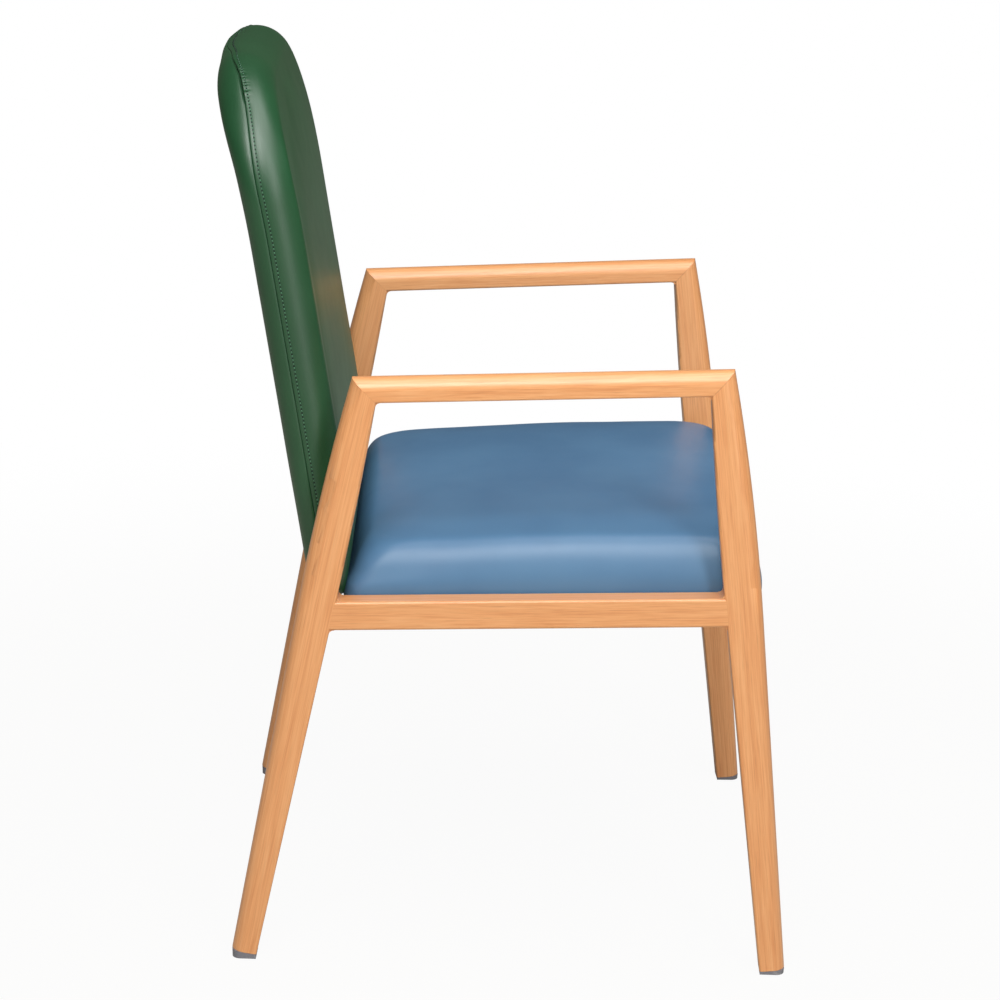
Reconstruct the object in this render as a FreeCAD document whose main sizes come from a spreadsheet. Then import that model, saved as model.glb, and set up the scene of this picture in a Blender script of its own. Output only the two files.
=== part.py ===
import FreeCAD, Part
import math
import os

import Sketcher
from FreeCAD import Vector

# Armchair with two welded side frames, a padded seat and a high padded back.
# Millimetres and degrees. +Z up, the sitter looks along -Y, +X is the sitter's left.
# The origin is on the floor, under the middle of the chair.

doc = FreeCAD.newDocument("Armchair")
sheet = doc.addObject("Spreadsheet::Sheet", "Sizes")

sizes = {
    # side frames: tube section, and how the frames stand
    "tube_thickness": 28,
    "tube_wall": 2,
    "tube_round": 13.5,
    "tube_edge": 2.5,
    "base_y": 0.26,
    "frame_half_width": 282.6,
    "toe_angle": 1.536,
    "splay_angle": 0.746,
    "knee_height": 400,
    # front leg, front face, from the floor up
    "front_foot_y": -311.3,
    "front_foot_rise": 5.4,
    "front_foot_heel": 3.2,
    "front_foot_depth": 27.3,
    "front_knee_y": -268.4,
    "front_knee_depth": 39,
    "front_top_y": -226.2,
    # rear leg, rear face, from the floor up
    "rear_foot_y": 282.2,
    "rear_foot_rise": 9,
    "rear_foot_heel": 5,
    "rear_foot_depth": 26.9,
    "rear_knee_y": 215.4,
    "rear_knee_depth": 39.3,
    "rear_top_y": 162.8,
    # armrest
    "arm_front_height": 661.3,
    "arm_rear_height": 641.6,
    "arm_depth": 25.3,
    "arm_front_inner_y": -202.8,
    "arm_rear_inner_y": 137.6,
    # seat rails and cross rails
    "rail_height": 411.2,
    "rail_depth": 30.9,
    "rail_width": 27.6,
    "rail_edge": 3,
    "weld_radius": 5,
    "weld_gap": 0.15,
    "cross_rail_depth": 25,
    "cross_rail_height": 26,
    "cross_rail_edge": 2.5,
    "front_cross_rail_y": -243,
    "rear_cross_rail_y": 190,
    "rear_cross_rail_drop": 2,
    # glides
    "glide_inset": 0.3,
    "glide_round": 9,
    "glide_taper": 0.5,
    "glide_trim": 4,
    "glide_plug": 16,
    "glide_clearance": 0.2,
    # seat, measured up from the corner plates
    "seat_tilt": 2.33,
    "seat_drop": 12,
    "seat_front_y": -275,
    "seat_rear_y": 169.8,
    "seat_side_clearance": 1.6,
    "seat_draw_in": 2,
    "seat_front_bow": 5,
    "seat_corner": 33,
    "seat_rear_lean": 12,
    "seat_top_round": 29,
    "seat_height": 74,
    "seat_crown_radius": 4000,
    "seat_crown_y": -100,
    "seat_board_thickness": 12,
    "seat_board_margin": 3,
    "cover_thickness": 1.2,
    "seat_wrap": 16,
    "lining_thickness": 0.6,
    "lining_margin": 9,
    "plate_thickness": 4,
    "plate_reach": 62,
    "plate_blunt": 12,
    "rear_plate_y": 60,
    "seat_screw_inset": 24,
    # back, measured from the seam between its front and rear covers
    "back_y": 233.7,
    "back_z": 685,
    "back_lean": 10,
    "back_bend": 80,
    "back_bend_radius": 1170,
    "back_side_inset": 53.1,
    "back_bottom": 292,
    "back_top": 269,
    "back_arch": 12,
    "back_corner": 130,
    "back_low_corner": 30,
    "back_front_depth": 36.5,
    "back_crown_radius": 6000,
    "back_tail_depth": 13.4,
    "back_step": 290,
    "back_step_slope": 2.2,
    "back_rear_depth": 21.2,
    "back_front_round": 26,
    "back_rear_round": 18.5,
    "back_board_margin": 16,
    "back_board_thickness": 9,
    "back_board_front": 12,
    "upright_x": 150,
    "upright_width": 30,
    "upright_depth": 12,
    "upright_wall": 1.5,
    "upright_top": 205,
    "back_bar_height": 24,
    "back_lower_bar_height": -215,
    "back_middle_bar_height": -10,
    "back_upper_bar_height": 190,
    "back_screw_low": -170,
    "back_screw_high": 55,
    "foam_gap": 0.3,
    # fasteners
    "seat_screw_radius": 2.9,
    "back_screw_radius": 2.4,
    "screw_clearance": 0.4,
    "screw_head_radius": 5.2,
    "screw_head_height": 3,
    "tee_nut_flange_radius": 8.5,
    "tee_nut_flange": 1.5,
    "tee_nut_wall": 1,
    "tee_nut_clearance": 0.1,
    "tee_nut_length": 8.5,
    "screw_tip": 2,
}
for row, (alias, number) in enumerate(sizes.items(), start=1):
    sheet.set(f"A{row}", alias)
    sheet.set(f"B{row}", str(number))
    sheet.setAlias(f"B{row}", alias)
doc.recompute()


# Lengths that only tools and trimming blocks use, and how close counts as touching
beyond = 12
past = 40
room = 600
touching = 0.01


def value(expression):
    return float(sheet.evalExpression(str(expression)))


# Sketches, pads and rounded edges

def arc_between(start, end, centre):
    # The shorter way round, always drawn anticlockwise.
    first = start - centre
    second = end - centre
    if first.x * second.y - first.y * second.x < 0:
        first, second = second, first
    circle = Part.Circle(centre, Vector(0, 0, 1), first.Length)
    return Part.ArcOfCircle(circle, math.atan2(first.y, first.x), math.atan2(second.y, second.x))


def tangent_centre(point, along, other):
    across = Vector(-along.y, along.x, 0).normalize()
    span = other - point
    return point + across * (span.dot(span) / (2 * across.dot(span)))


def radius_centre(start, end, radius, side):
    span = end - start
    across = Vector(-span.y, span.x, 0).normalize()
    reach = math.sqrt(radius ** 2 - span.Length ** 2 / 4)
    return (start + end) * 0.5 + across * (side * reach)


# Radius of the arc that leaves a line smoothly at "corner" and ends at "other".
def tangent_radius(before, corner, other):
    along_x = f"({corner[0]} - ({before[0]}))"
    along_y = f"({corner[1]} - ({before[1]}))"
    span_x = f"({other[0]} - ({corner[0]}))"
    span_y = f"({other[1]} - ({corner[1]}))"
    length = f"sqrt({along_x}^2 + {along_y}^2)"
    turn = f"abs({along_x} * {span_y} - {along_y} * {span_x})"
    return f"({span_x}^2 + {span_y}^2) * {length} / (2 * {turn})"


def sketch_on(body, name, plane):
    sketch = body.newObject("Sketcher::SketchObject", name)
    support = [feature for feature in body.Origin.OriginFeatures if feature.Role == plane][0]
    sketch.AttachmentSupport = [(support, "")]
    sketch.MapMode = "FlatFace"
    return sketch


# A corner is (x, y), or (x, y, kind) where kind says how the outline leaves it: "after" is an arc
# tangent to the line before it, "before" an arc tangent to the line that follows, and
# (radius, side) an arc of that radius with its centre on that side of the chord.
def closed_outline(body, name, corners, plane="YZ_Plane"):
    sketch = sketch_on(body, name, plane)
    points = [Vector(value(corner[0]), value(corner[1]), 0) for corner in corners]
    count = len(points)
    ends = []
    radii = {}
    for i, corner in enumerate(corners):
        start = points[i]
        end = points[(i + 1) % count]
        kind = corner[2] if len(corner) > 2 else "line"
        if kind == "line":
            geometry = Part.LineSegment(start, end)
        else:
            following = corners[(i + 1) % count]
            if kind == "after":
                radii[i] = tangent_radius(corners[i - 1], corner, following)
                centre = tangent_centre(start, start - points[i - 1], end)
            elif kind == "before":
                radii[i] = tangent_radius(corners[(i + 2) % count], following, corner)
                centre = tangent_centre(end, points[(i + 2) % count] - end, start)
            else:
                radii[i] = kind[0]
                centre = radius_centre(start, end, value(kind[0]), kind[1])
            geometry = arc_between(start, end, centre)
        index = sketch.addGeometry(geometry, False)
        placed = sketch.Geometry[index]
        forward = (placed.StartPoint - start).Length < (placed.EndPoint - start).Length
        ends.append((index, 1, 2) if forward else (index, 2, 1))
    for i, corner in enumerate(corners):
        last = ends[i - 1]
        index, first, _ = ends[i]
        sketch.addConstraint(Sketcher.Constraint("Coincident", last[0], last[2], index, first))
        for direction, expression in (("DistanceX", corner[0]), ("DistanceY", corner[1])):
            constraint = Sketcher.Constraint(direction, -1, 1, index, first, value(expression))
            number = sketch.addConstraint(constraint)
            sketch.setExpression(f"Constraints[{number}]", str(expression))
        if i in radii:
            constraint = Sketcher.Constraint("Radius", index, value(radii[i]))
            number = sketch.addConstraint(constraint)
            sketch.setExpression(f"Constraints[{number}]", radii[i])
    return sketch


def new_body(name, placement):
    body = doc.addObject("PartDesign::Body", name)
    body.setExpression("Placement", placement)
    return body


def pad(body, sketch, length, symmetric=True, reversed_way=False):
    feature = body.newObject("PartDesign::Pad", f"{body.Name}_pad")
    feature.Profile = sketch
    feature.SideType = "Symmetric" if symmetric else "One side"
    feature.Reversed = reversed_way
    feature.setExpression("Length", length)
    doc.recompute()
    return feature


def chosen_edges(shape, wanted):
    return [i for i, edge in enumerate(shape.Edges, start=1) if wanted(edge)]


def round_edges(body, base, radius, wanted):
    feature = body.newObject("PartDesign::Fillet", f"{base.Name}_round")
    feature.Base = (base, [f"Edge{i}" for i in chosen_edges(base.Shape, wanted)])
    feature.setExpression("Radius", radius)
    doc.recompute()
    return feature


def round_shape(name, base, radius, wanted):
    doc.recompute()
    feature = doc.addObject("Part::Fillet", name)
    feature.Base = base
    size = value(radius)
    feature.Edges = [(i, size, size) for i in chosen_edges(base.Shape, wanted)]
    doc.recompute()
    return feature


def boolean(kind, name, base, tool):
    feature = doc.addObject(f"Part::{kind}", name)
    feature.Base = base
    feature.Tool = tool
    return feature


def cut(name, base, *tools):
    result = base
    for number, tool in enumerate(tools, start=1):
        last = number == len(tools)
        result = boolean("Cut", name if last else f"{name}_cut{number}", result, tool)
    doc.recompute()
    return result


def group(name, pieces):
    feature = doc.addObject("Part::Compound", name)
    feature.Links = pieces
    doc.recompute()
    return feature


def box(name, length, width, height, placement):
    feature = doc.addObject("Part::Box", name)
    feature.setExpression("Length", length)
    feature.setExpression("Width", width)
    feature.setExpression("Height", height)
    feature.setExpression("Placement", placement)
    return feature


def cylinder(name, radius, height, placement):
    feature = doc.addObject("Part::Cylinder", name)
    feature.setExpression("Radius", radius)
    feature.setExpression("Height", height)
    feature.setExpression("Placement", placement)
    return feature


nodes = []


def keep(node, feature):
    feature.Label = node
    nodes.append(feature)
    return feature


def moved(placement, x, y, z):
    return f"{placement} * placement(vector({x}; {y}; {z}); rotation(vector(0; 0; 1); 0))"


# Side frames. Each is drawn in its own upright plane, centred on the tube's thickness, and then
# turned: the frames open towards the front and spread towards the floor.

side_signs = {"right": -1, "left": 1}


def frame_placement(side):
    sign = side_signs[side]
    inset = "(Sizes.frame_half_width - Sizes.tube_thickness / 2)"
    turn = f"rotation(vector(0; 0; 1); {sign} * Sizes.toe_angle)"
    lean = f"rotation(vector(0; 1; 0); {-sign} * Sizes.splay_angle)"
    return f"placement(vector({sign} * {inset}; Sizes.base_y; 0); {turn} * {lean})"


arm_slope = ("(Sizes.arm_front_height - Sizes.arm_rear_height)"
             " / (Sizes.rear_top_y - Sizes.front_top_y)")
arm_ends = {
    "front": ("Sizes.arm_front_inner_y",
              f"(Sizes.arm_front_height - Sizes.arm_depth"
              f" - (Sizes.arm_front_inner_y - Sizes.front_top_y) * {arm_slope})"),
    "rear": ("Sizes.arm_rear_inner_y",
             f"(Sizes.arm_rear_height - Sizes.arm_depth"
             f" + (Sizes.rear_top_y - Sizes.arm_rear_inner_y) * {arm_slope})"),
}
outward_signs = {"front": -1, "rear": 1}


def leg_corners(end, inset):
    # The outer face is the front of a front leg and the rear of a rear leg.
    out = outward_signs[end]
    foot_outer = (f"Sizes.{end}_foot_y - {out} * {inset}", f"Sizes.{end}_foot_rise")
    foot_inner = (f"Sizes.{end}_foot_y - {out} * (Sizes.{end}_foot_depth - {inset})",
                  f"Sizes.{end}_foot_heel")
    knee_outer = (f"Sizes.{end}_knee_y - {out} * {inset}", "Sizes.knee_height", "after")
    knee_inner = (f"Sizes.{end}_knee_y - {out} * (Sizes.{end}_knee_depth - {inset})",
                  "Sizes.knee_height")
    top_outer = (f"Sizes.{end}_top_y - {out} * {inset}", f"Sizes.arm_{end}_height")
    inner_y, inner_z = arm_ends[end]
    top_inner = (f"{inner_y} + {out} * {inset}", inner_z, "before")
    return foot_inner, foot_outer, knee_outer, top_outer, top_inner, knee_inner


def leg_cavity_corners(end):
    # The bore runs out through the foot and through the mitre, along the leg's own faces.
    corners = list(leg_corners(end, "Sizes.tube_wall"))
    for i, knee in ((0, 5), (1, 2)):
        y, z = corners[i]
        lean = f"({corners[knee][0]} - ({y})) / (Sizes.knee_height - {z})"
        corners[i] = (f"{y} - {lean} * {beyond}", f"{z} - {beyond}")
    inner_y, inner_z = corners[4][:2]
    rise = f"(Sizes.arm_{end}_height - {inner_z})"
    drift = f"({inner_y} - ({corners[5][0]})) / ({inner_z} - Sizes.knee_height)"
    corners[4] = (f"{inner_y} + {drift} * {rise}", f"Sizes.arm_{end}_height", "before")
    return corners


def leg_middle(end, height):
    foot = value(f"Sizes.{end}_foot_y") - outward_signs[end] * value(f"Sizes.{end}_foot_depth") / 2
    knee = value(f"Sizes.{end}_knee_y") - outward_signs[end] * value(f"Sizes.{end}_knee_depth") / 2
    top = (value(f"Sizes.{end}_top_y") + value(arm_ends[end][0])) / 2
    bend = value("Sizes.knee_height")
    if height < bend:
        return foot + (knee - foot) * height / bend
    return knee + (top - knee) * (height - bend) / (value(arm_ends[end][1]) - bend)


def runs_along(edge, least):
    span = edge.lastVertex().Point - edge.firstVertex().Point
    return abs(span.x) < touching and span.Length > least


def edge_middle(edge):
    return edge.valueAt((edge.FirstParameter + edge.LastParameter) / 2)


def leg_solid(name, side, end, corners, thickness, radius, edge_radius=None):
    body = new_body(name, frame_placement(side))
    solid = pad(body, closed_outline(body, f"{name}_outline", corners), thickness)
    out = outward_signs[end]
    long_edge = value("Sizes.knee_height") / 4

    def outer(edge):
        middle = edge_middle(edge)
        return runs_along(edge, long_edge) and out * (middle.y - leg_middle(end, middle.z)) > 0

    solid = round_edges(body, solid, radius, outer)
    if edge_radius:
        half = value(thickness) / 2

        def inner(edge):
            middle = edge_middle(edge)
            outside = abs(abs(middle.x) - half) < touching
            nearer = out * (middle.y - leg_middle(end, middle.z)) < -value("Sizes.tube_round") / 4
            return runs_along(edge, long_edge) and outside and nearer

        round_edges(body, solid, edge_radius, inner)
    return body


def arm_corners(inset, run_on):
    front_y, front_z = arm_ends["front"]
    rear_y, rear_z = arm_ends["rear"]
    rise = f"{run_on} * {arm_slope}"
    return ((f"Sizes.front_top_y - {run_on}", f"Sizes.arm_front_height - {inset} + {rise}"),
            (f"Sizes.rear_top_y + {run_on}", f"Sizes.arm_rear_height - {inset} - {rise}"),
            (f"{rear_y} + {run_on}", f"{rear_z} + {inset} - {rise}"),
            (f"{front_y} - {run_on}", f"{front_z} + {inset} + {rise}"))


def arm_solid(name, side, corners, thickness, radius, edge_radius=None):
    body = new_body(name, frame_placement(side))
    solid = pad(body, closed_outline(body, f"{name}_outline", corners), thickness)
    middle_height = (value("Sizes.arm_front_height") + value("Sizes.arm_rear_height")
                     - value("Sizes.arm_depth")) / 2
    long_edge = value("Sizes.rear_top_y")

    def upper(edge):
        return runs_along(edge, long_edge) and edge_middle(edge).z > middle_height

    solid = round_edges(body, solid, radius, upper)
    if edge_radius:
        low = middle_height - value("Sizes.arm_depth") / 4

        def lower(edge):
            return runs_along(edge, long_edge) and edge_middle(edge).z < low

        round_edges(body, solid, edge_radius, lower)
    return body


def rail_level(y, drop):
    return f"Sizes.rail_height - {drop} - ({y}) * tan(Sizes.seat_tilt)"


def rail_solid(name, side, inset, thickness, radius=None):
    front = "Sizes.front_knee_y + Sizes.front_knee_depth / 2"
    rear = "Sizes.rear_knee_y - Sizes.rear_knee_depth / 2"
    low = f"(Sizes.rail_depth - {inset})"
    corners = ((front, rail_level(front, inset)), (rear, rail_level(rear, inset)),
               (rear, rail_level(rear, low)), (front, rail_level(front, low)))
    body = new_body(name, frame_placement(side))
    solid = pad(body, closed_outline(body, f"{name}_outline", corners), thickness)
    if radius:
        long_edge = value("Sizes.rear_knee_y")
        round_edges(body, solid, radius, lambda edge: runs_along(edge, long_edge))
    return body


def line_point(first, second, height):
    share = (height - first.y) / (second.y - first.y)
    return first + (second - first) * share


def weld_fillet(body, corner, first, second):
    # A small triangle with a hollow face, in the corner between two tube faces and just
    # clear of the second, which is curved.
    radius = value("Sizes.weld_radius")
    first = Vector(first).normalize()
    second = Vector(second).normalize()
    half = first.getAngle(second) / 2
    reach = radius / math.tan(half)
    corner = corner + first * value("Sizes.weld_gap")
    centre = corner + (first + second).normalize() * (radius / math.sin(half))
    start = corner + first * reach
    end = corner + second * reach
    hollow = centre + (corner - centre).normalize() * radius
    sketch = sketch_on(body, f"{body.Name}_outline", "YZ_Plane")
    sketch.addGeometry([Part.LineSegment(corner, start), Part.Arc(start, hollow, end),
                        Part.LineSegment(end, corner)], False)
    return sketch


def flat(y, z):
    return Vector(value(y), value(z), 0)


def weld_places():
    # Corner, and the directions of the two faces that meet there.
    places = []
    for end in ("front", "rear"):
        out = outward_signs[end]
        corners = leg_corners(end, "0")
        top = flat(*corners[4][:2])
        knee = flat(*corners[5][:2])
        foot = flat(*corners[0][:2])
        other = flat(*arm_ends["rear" if end == "front" else "front"])
        lower = (knee - foot).normalize()
        chord = (top - knee).normalize()
        upper = chord * (2 * chord.dot(lower)) - lower
        places.append((top, other - top, upper * -1))
        for drop, way in (("0", 1), ("Sizes.rail_depth", -1)):
            at = knee
            along = lower
            for _ in range(4):
                level = value(rail_level(str(at.x), drop))
                if level < knee.y:
                    at = line_point(foot, knee, level)
                else:
                    centre = tangent_centre(knee, lower, top)
                    radius = (knee - centre).Length
                    side = math.copysign(1, knee.x - centre.x)
                    reach = math.sqrt(radius ** 2 - (level - centre.y) ** 2)
                    at = Vector(centre.x + side * reach, level, 0)
                    along = Vector(centre.y - at.y, at.x - centre.x, 0) * side
            rail = Vector(-out, out * math.tan(math.radians(value("Sizes.seat_tilt"))), 0)
            places.append((at, rail, along * way))
    return places


def frame_welds(side):
    pieces = []
    for number, (corner, first, second) in enumerate(weld_places(), start=1):
        body = new_body(f"{side}_weld{number}", frame_placement(side))
        sketch = weld_fillet(body, corner, first, second)
        pad(body, sketch, "Sizes.tube_thickness - Sizes.rail_edge")
        pieces.append(body)
    return group(f"{side}_frame_welds", pieces)


floor = box("floor_block", f"2 * {room}", f"2 * {room}", f"{past}",
            f"placement(vector(-{room}; -{room}; -{past}); rotation(vector(0; 0; 1); 0))")


def glide(side, end):
    # A plastic foot on the leg's end, cut level with the floor, and its plug in the tube.
    out = outward_signs[end]
    name = f"{side}_{end}_glide"
    inner, outer = [(y, f"{z} - Sizes.glide_clearance / 2")
                    for y, z in leg_corners(end, "Sizes.glide_inset")[:2]]
    corners = (inner, outer,
               (f"{outer[0]} - {out} * Sizes.glide_taper", "-Sizes.glide_trim"),
               (f"{inner[0]} + {out} * Sizes.glide_taper", "-Sizes.glide_trim"))
    body = new_body(f"{name}_cap", frame_placement(side))
    cap = pad(body, closed_outline(body, f"{name}_outline", corners),
              "Sizes.tube_thickness - 2 * Sizes.glide_inset")
    middle = (value(inner[0]) + value(outer[0])) / 2
    depth = value(f"Sizes.{end}_foot_depth")

    def outer_edge(edge):
        return runs_along(edge, touching) and out * (edge_middle(edge).y - middle) > depth / 3

    round_edges(body, cap, "Sizes.glide_round", outer_edge)
    plug_inset = "(Sizes.tube_wall + Sizes.glide_clearance)"
    lower = leg_corners(end, plug_inset)
    lean_outer = f"(Sizes.{end}_knee_y - Sizes.{end}_foot_y) / Sizes.knee_height"
    lean_inner = (f"(Sizes.{end}_knee_y - Sizes.{end}_foot_y - {out} * (Sizes.{end}_knee_depth"
                  f" - Sizes.{end}_foot_depth)) / Sizes.knee_height")
    plug_corners = ((lower[0][0], lower[0][1]), (lower[1][0], lower[1][1]),
                    (f"{lower[1][0]} + {lean_outer} * Sizes.glide_plug",
                     f"{lower[1][1]} + Sizes.glide_plug"),
                    (f"{lower[0][0]} + {lean_inner} * Sizes.glide_plug",
                     f"{lower[0][1]} + Sizes.glide_plug"))
    plug_body = new_body(f"{name}_plug", frame_placement(side))
    plug = pad(plug_body, closed_outline(plug_body, f"{name}_plug_outline", plug_corners),
               "Sizes.tube_thickness - 2 * Sizes.tube_wall - 2 * Sizes.glide_clearance")
    tall = value("Sizes.glide_plug") / 2

    def plug_edge(edge):
        rise = edge.lastVertex().Point.z - edge.firstVertex().Point.z
        return abs(rise) > tall and runs_along(edge, tall) and outer_edge(edge)

    round_edges(plug_body, plug, "Sizes.tube_round - Sizes.tube_wall - Sizes.glide_clearance",
                plug_edge)
    whole = boolean("Fuse", f"{name}_whole", body, plug_body)
    return cut(name, whole, floor)


for side in side_signs:
    legs = {}
    for end in outward_signs:
        name = f"{side}_{end}_leg"
        outside = leg_solid(f"{name}_outside", side, end, leg_corners(end, "0"),
                            "Sizes.tube_thickness", "Sizes.tube_round", "Sizes.tube_edge")
        bore = leg_solid(f"{name}_bore", side, end, leg_cavity_corners(end),
                         "Sizes.tube_thickness - 2 * Sizes.tube_wall",
                         "Sizes.tube_round - Sizes.tube_wall")
        legs[end] = outside
        keep(name, cut(name, outside, bore))
        keep(f"{side}_{end}_glide", glide(side, end))
    arm_outside = arm_solid(f"{side}_armrest_outside", side, arm_corners("0", "0"),
                            "Sizes.tube_thickness", "Sizes.tube_round", "Sizes.tube_edge")
    arm_bore = arm_solid(f"{side}_armrest_bore", side, arm_corners("Sizes.tube_wall", f"{beyond}"),
                         "Sizes.tube_thickness - 2 * Sizes.tube_wall",
                         "Sizes.tube_round - Sizes.tube_wall")
    keep(f"{side}_armrest", cut(f"{side}_armrest", arm_outside, arm_bore))
    rail_outside = rail_solid(f"{side}_rail_outside", side, "0", "Sizes.rail_width",
                              "Sizes.rail_edge")
    rail_bore = rail_solid(f"{side}_rail_bore", side, "Sizes.tube_wall",
                           "Sizes.rail_width - 2 * Sizes.tube_wall")
    keep(f"{side}_side_rail", cut(f"{side}_side_rail", rail_outside, legs["front"], legs["rear"],
                                  rail_bore))
    keep(f"{side}_frame_welds", frame_welds(side))


# Everything between the side frames is trimmed against the inner faces of the legs or the rails.

def beyond_face(name, side, half_thickness):
    start = f"-({half_thickness})" if side == "left" else f"{half_thickness} - {room}"
    corner = moved(frame_placement(side), start, f"-{room}", "0")
    return box(name, f"{room}", f"2 * {room}", f"{room}", corner)


leg_faces = [beyond_face(f"{side}_leg_face", side, "Sizes.tube_thickness / 2")
             for side in side_signs]
rail_faces = [beyond_face(f"{side}_rail_face", side, "Sizes.rail_width / 2")
              for side in side_signs]
seat_place = ("placement(vector(0; Sizes.base_y; Sizes.rail_height - Sizes.seat_drop);"
              " rotation(vector(1; 0; 0); -Sizes.seat_tilt))")


def cross_rail(name, middle, top):
    # A rectangular tube across the chair, its top parallel to the seat's board.
    def outline(inset):
        half = f"(Sizes.cross_rail_depth / 2 - {inset})"
        return ((f"{middle} - {half}", f"{top} - {inset}"),
                (f"{middle} + {half}", f"{top} - {inset}"),
                (f"{middle} + {half}", f"{top} - Sizes.cross_rail_height + {inset}"),
                (f"{middle} - {half}", f"{top} - Sizes.cross_rail_height + {inset}"))

    body = new_body(f"{name}_outside", seat_place)
    solid = pad(body, closed_outline(body, f"{name}_outline", outline("0")), f"{room}")
    round_edges(body, solid, "Sizes.cross_rail_edge", lambda edge: edge.Length > room / 2)
    bore = new_body(f"{name}_bore", seat_place)
    pad(bore, closed_outline(bore, f"{name}_bore_outline", outline("Sizes.tube_wall")), f"{room}")
    return cut(name, body, bore, *leg_faces)


keep("front_cross_rail", cross_rail("front_cross_rail", "Sizes.front_cross_rail_y", "0"))
keep("rear_cross_rail", cross_rail("rear_cross_rail", "Sizes.rear_cross_rail_y",
                                   "-Sizes.rear_cross_rail_drop"))


# Half the clear width between the side rails, at a place along the seat.
def clear_half(y):
    return ("(Sizes.frame_half_width - Sizes.tube_thickness / 2 - Sizes.rail_width / 2"
            f" - Sizes.rail_height * tan(Sizes.splay_angle) - ({y}) * tan(Sizes.toe_angle))")


# Corner plates and the four places where the seat is screwed to them.

plate_starts = {
    "front": "(Sizes.front_cross_rail_y + Sizes.cross_rail_depth / 2)",
    "rear": "Sizes.rear_plate_y",
}
screw_spots = []
for side, sign in side_signs.items():
    for end, start in plate_starts.items():
        name = f"{side}_{end}_corner_plate"
        half = clear_half(start)
        reach = f"({half} - Sizes.plate_reach)"
        blunt = "Sizes.plate_blunt"
        outer = f"{sign} * ({half} + Sizes.plate_blunt)"
        corners = ((outer, start), (f"{sign} * {reach}", start),
                   (f"{sign} * {reach}", f"{start} + {blunt}"),
                   (f"{sign} * ({half} - {blunt})", f"{start} + Sizes.plate_reach"),
                   (outer, f"{start} + Sizes.plate_reach"))
        body = new_body(f"{name}_sheet", seat_place)
        sketch = closed_outline(body, f"{name}_outline", corners, "XY_Plane")
        pad(body, sketch, "Sizes.plate_thickness", symmetric=False, reversed_way=True)
        spot = (f"{sign} * ({half} - Sizes.seat_screw_inset)", f"{start} + Sizes.seat_screw_inset")
        screw_spots.append(spot)
        hole = cylinder(f"{name}_hole", "Sizes.seat_screw_radius + Sizes.screw_clearance",
                        f"{past}", moved(seat_place, spot[0], spot[1], f"-{past} / 2"))
        faces = leg_faces if end == "front" else rail_faces
        keep(name, cut(name, body, hole, *faces))


# Seat cushion: a plan outline between the rails, drawn in at the sides and bowed at the front,
# under a wide dome, with a soft top edge.

def bow_radius(chord, bow):
    return f"(({chord})^2 / 4 + {bow}^2) / (2 * {bow})"


def seat_corners(inset, forwards):
    front = f"(Sizes.seat_front_y + Sizes.seat_front_bow + {inset})"
    rear = f"(Sizes.seat_rear_y - {inset} - {forwards})"
    front_half = f"({clear_half(front)} - Sizes.seat_side_clearance - {inset})"
    rear_half = f"({clear_half(rear)} - Sizes.seat_side_clearance - {inset})"
    bow = (bow_radius(f"2 * {front_half}", "Sizes.seat_front_bow"), 1)
    side = (bow_radius(f"{rear} - {front}", "Sizes.seat_draw_in"), -1)
    return ((f"-{front_half}", front, bow), (front_half, front, side),
            (rear_half, rear), (f"-{rear_half}", rear, side))


def rising_edge(edge):
    return abs(edge.lastVertex().Point.z - edge.firstVertex().Point.z) > touching


def lean_rear(body, solid):
    # Leans the rear face forwards from the bottom of the block.
    faces = solid.Shape.Faces
    rear = max(range(len(faces)), key=lambda i: faces[i].CenterOfMass.y)
    bottom = min(range(len(faces)), key=lambda i: faces[i].CenterOfMass.z)
    feature = body.newObject("PartDesign::Draft", f"{solid.Name}_lean")
    feature.Base = (solid, [f"Face{rear + 1}"])
    feature.NeutralPlane = (solid, [f"Face{bottom + 1}"])
    feature.setExpression("Angle", "Sizes.seat_rear_lean")
    doc.recompute()
    return feature


def seat_block(name, inset, bottom, height, corner=True, leaning=False):
    body = new_body(name, moved(seat_place, "0", "0", bottom))
    forwards = f"{bottom} * tan(Sizes.seat_rear_lean)" if leaning else "0"
    outline = closed_outline(body, f"{name}_outline", seat_corners(inset, forwards), "XY_Plane")
    solid = pad(body, outline, height, symmetric=False)
    if leaning:
        solid = lean_rear(body, solid)
    if corner:
        round_edges(body, solid, f"Sizes.seat_corner - {inset}", rising_edge)
    return body


def seat_cushion(name, inset, bottom):
    block = seat_block(f"{name}_block", inset, bottom, "2 * Sizes.seat_height", leaning=True)
    dome = doc.addObject("Part::Sphere", f"{name}_dome")
    dome.setExpression("Radius", f"Sizes.seat_crown_radius - {inset}")
    dome.setExpression("Placement", moved(seat_place, "0", "Sizes.seat_crown_y",
                                          "Sizes.seat_height - Sizes.seat_crown_radius"))
    domed = boolean("Common", f"{name}_domed", block, dome)
    doc.recompute()
    centre = dome.Placement.Base
    radius = value(f"Sizes.seat_crown_radius - {inset}")

    def on_dome(edge):
        return all(abs((edge.valueAt(at) - centre).Length - radius) < touching
                   for at in (edge.FirstParameter, edge.LastParameter))

    return round_shape(f"{name}_soft", domed, f"Sizes.seat_top_round - {inset}", on_dome)


board_bottom = "(Sizes.lining_thickness + Sizes.cover_thickness)"
board_top = f"({board_bottom} + Sizes.seat_board_thickness)"
wrap_inset = "(Sizes.cover_thickness + Sizes.seat_wrap)"
board_inset = "(Sizes.cover_thickness + Sizes.seat_board_margin)"
foam_inset = "(Sizes.cover_thickness + Sizes.foam_gap)"

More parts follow.
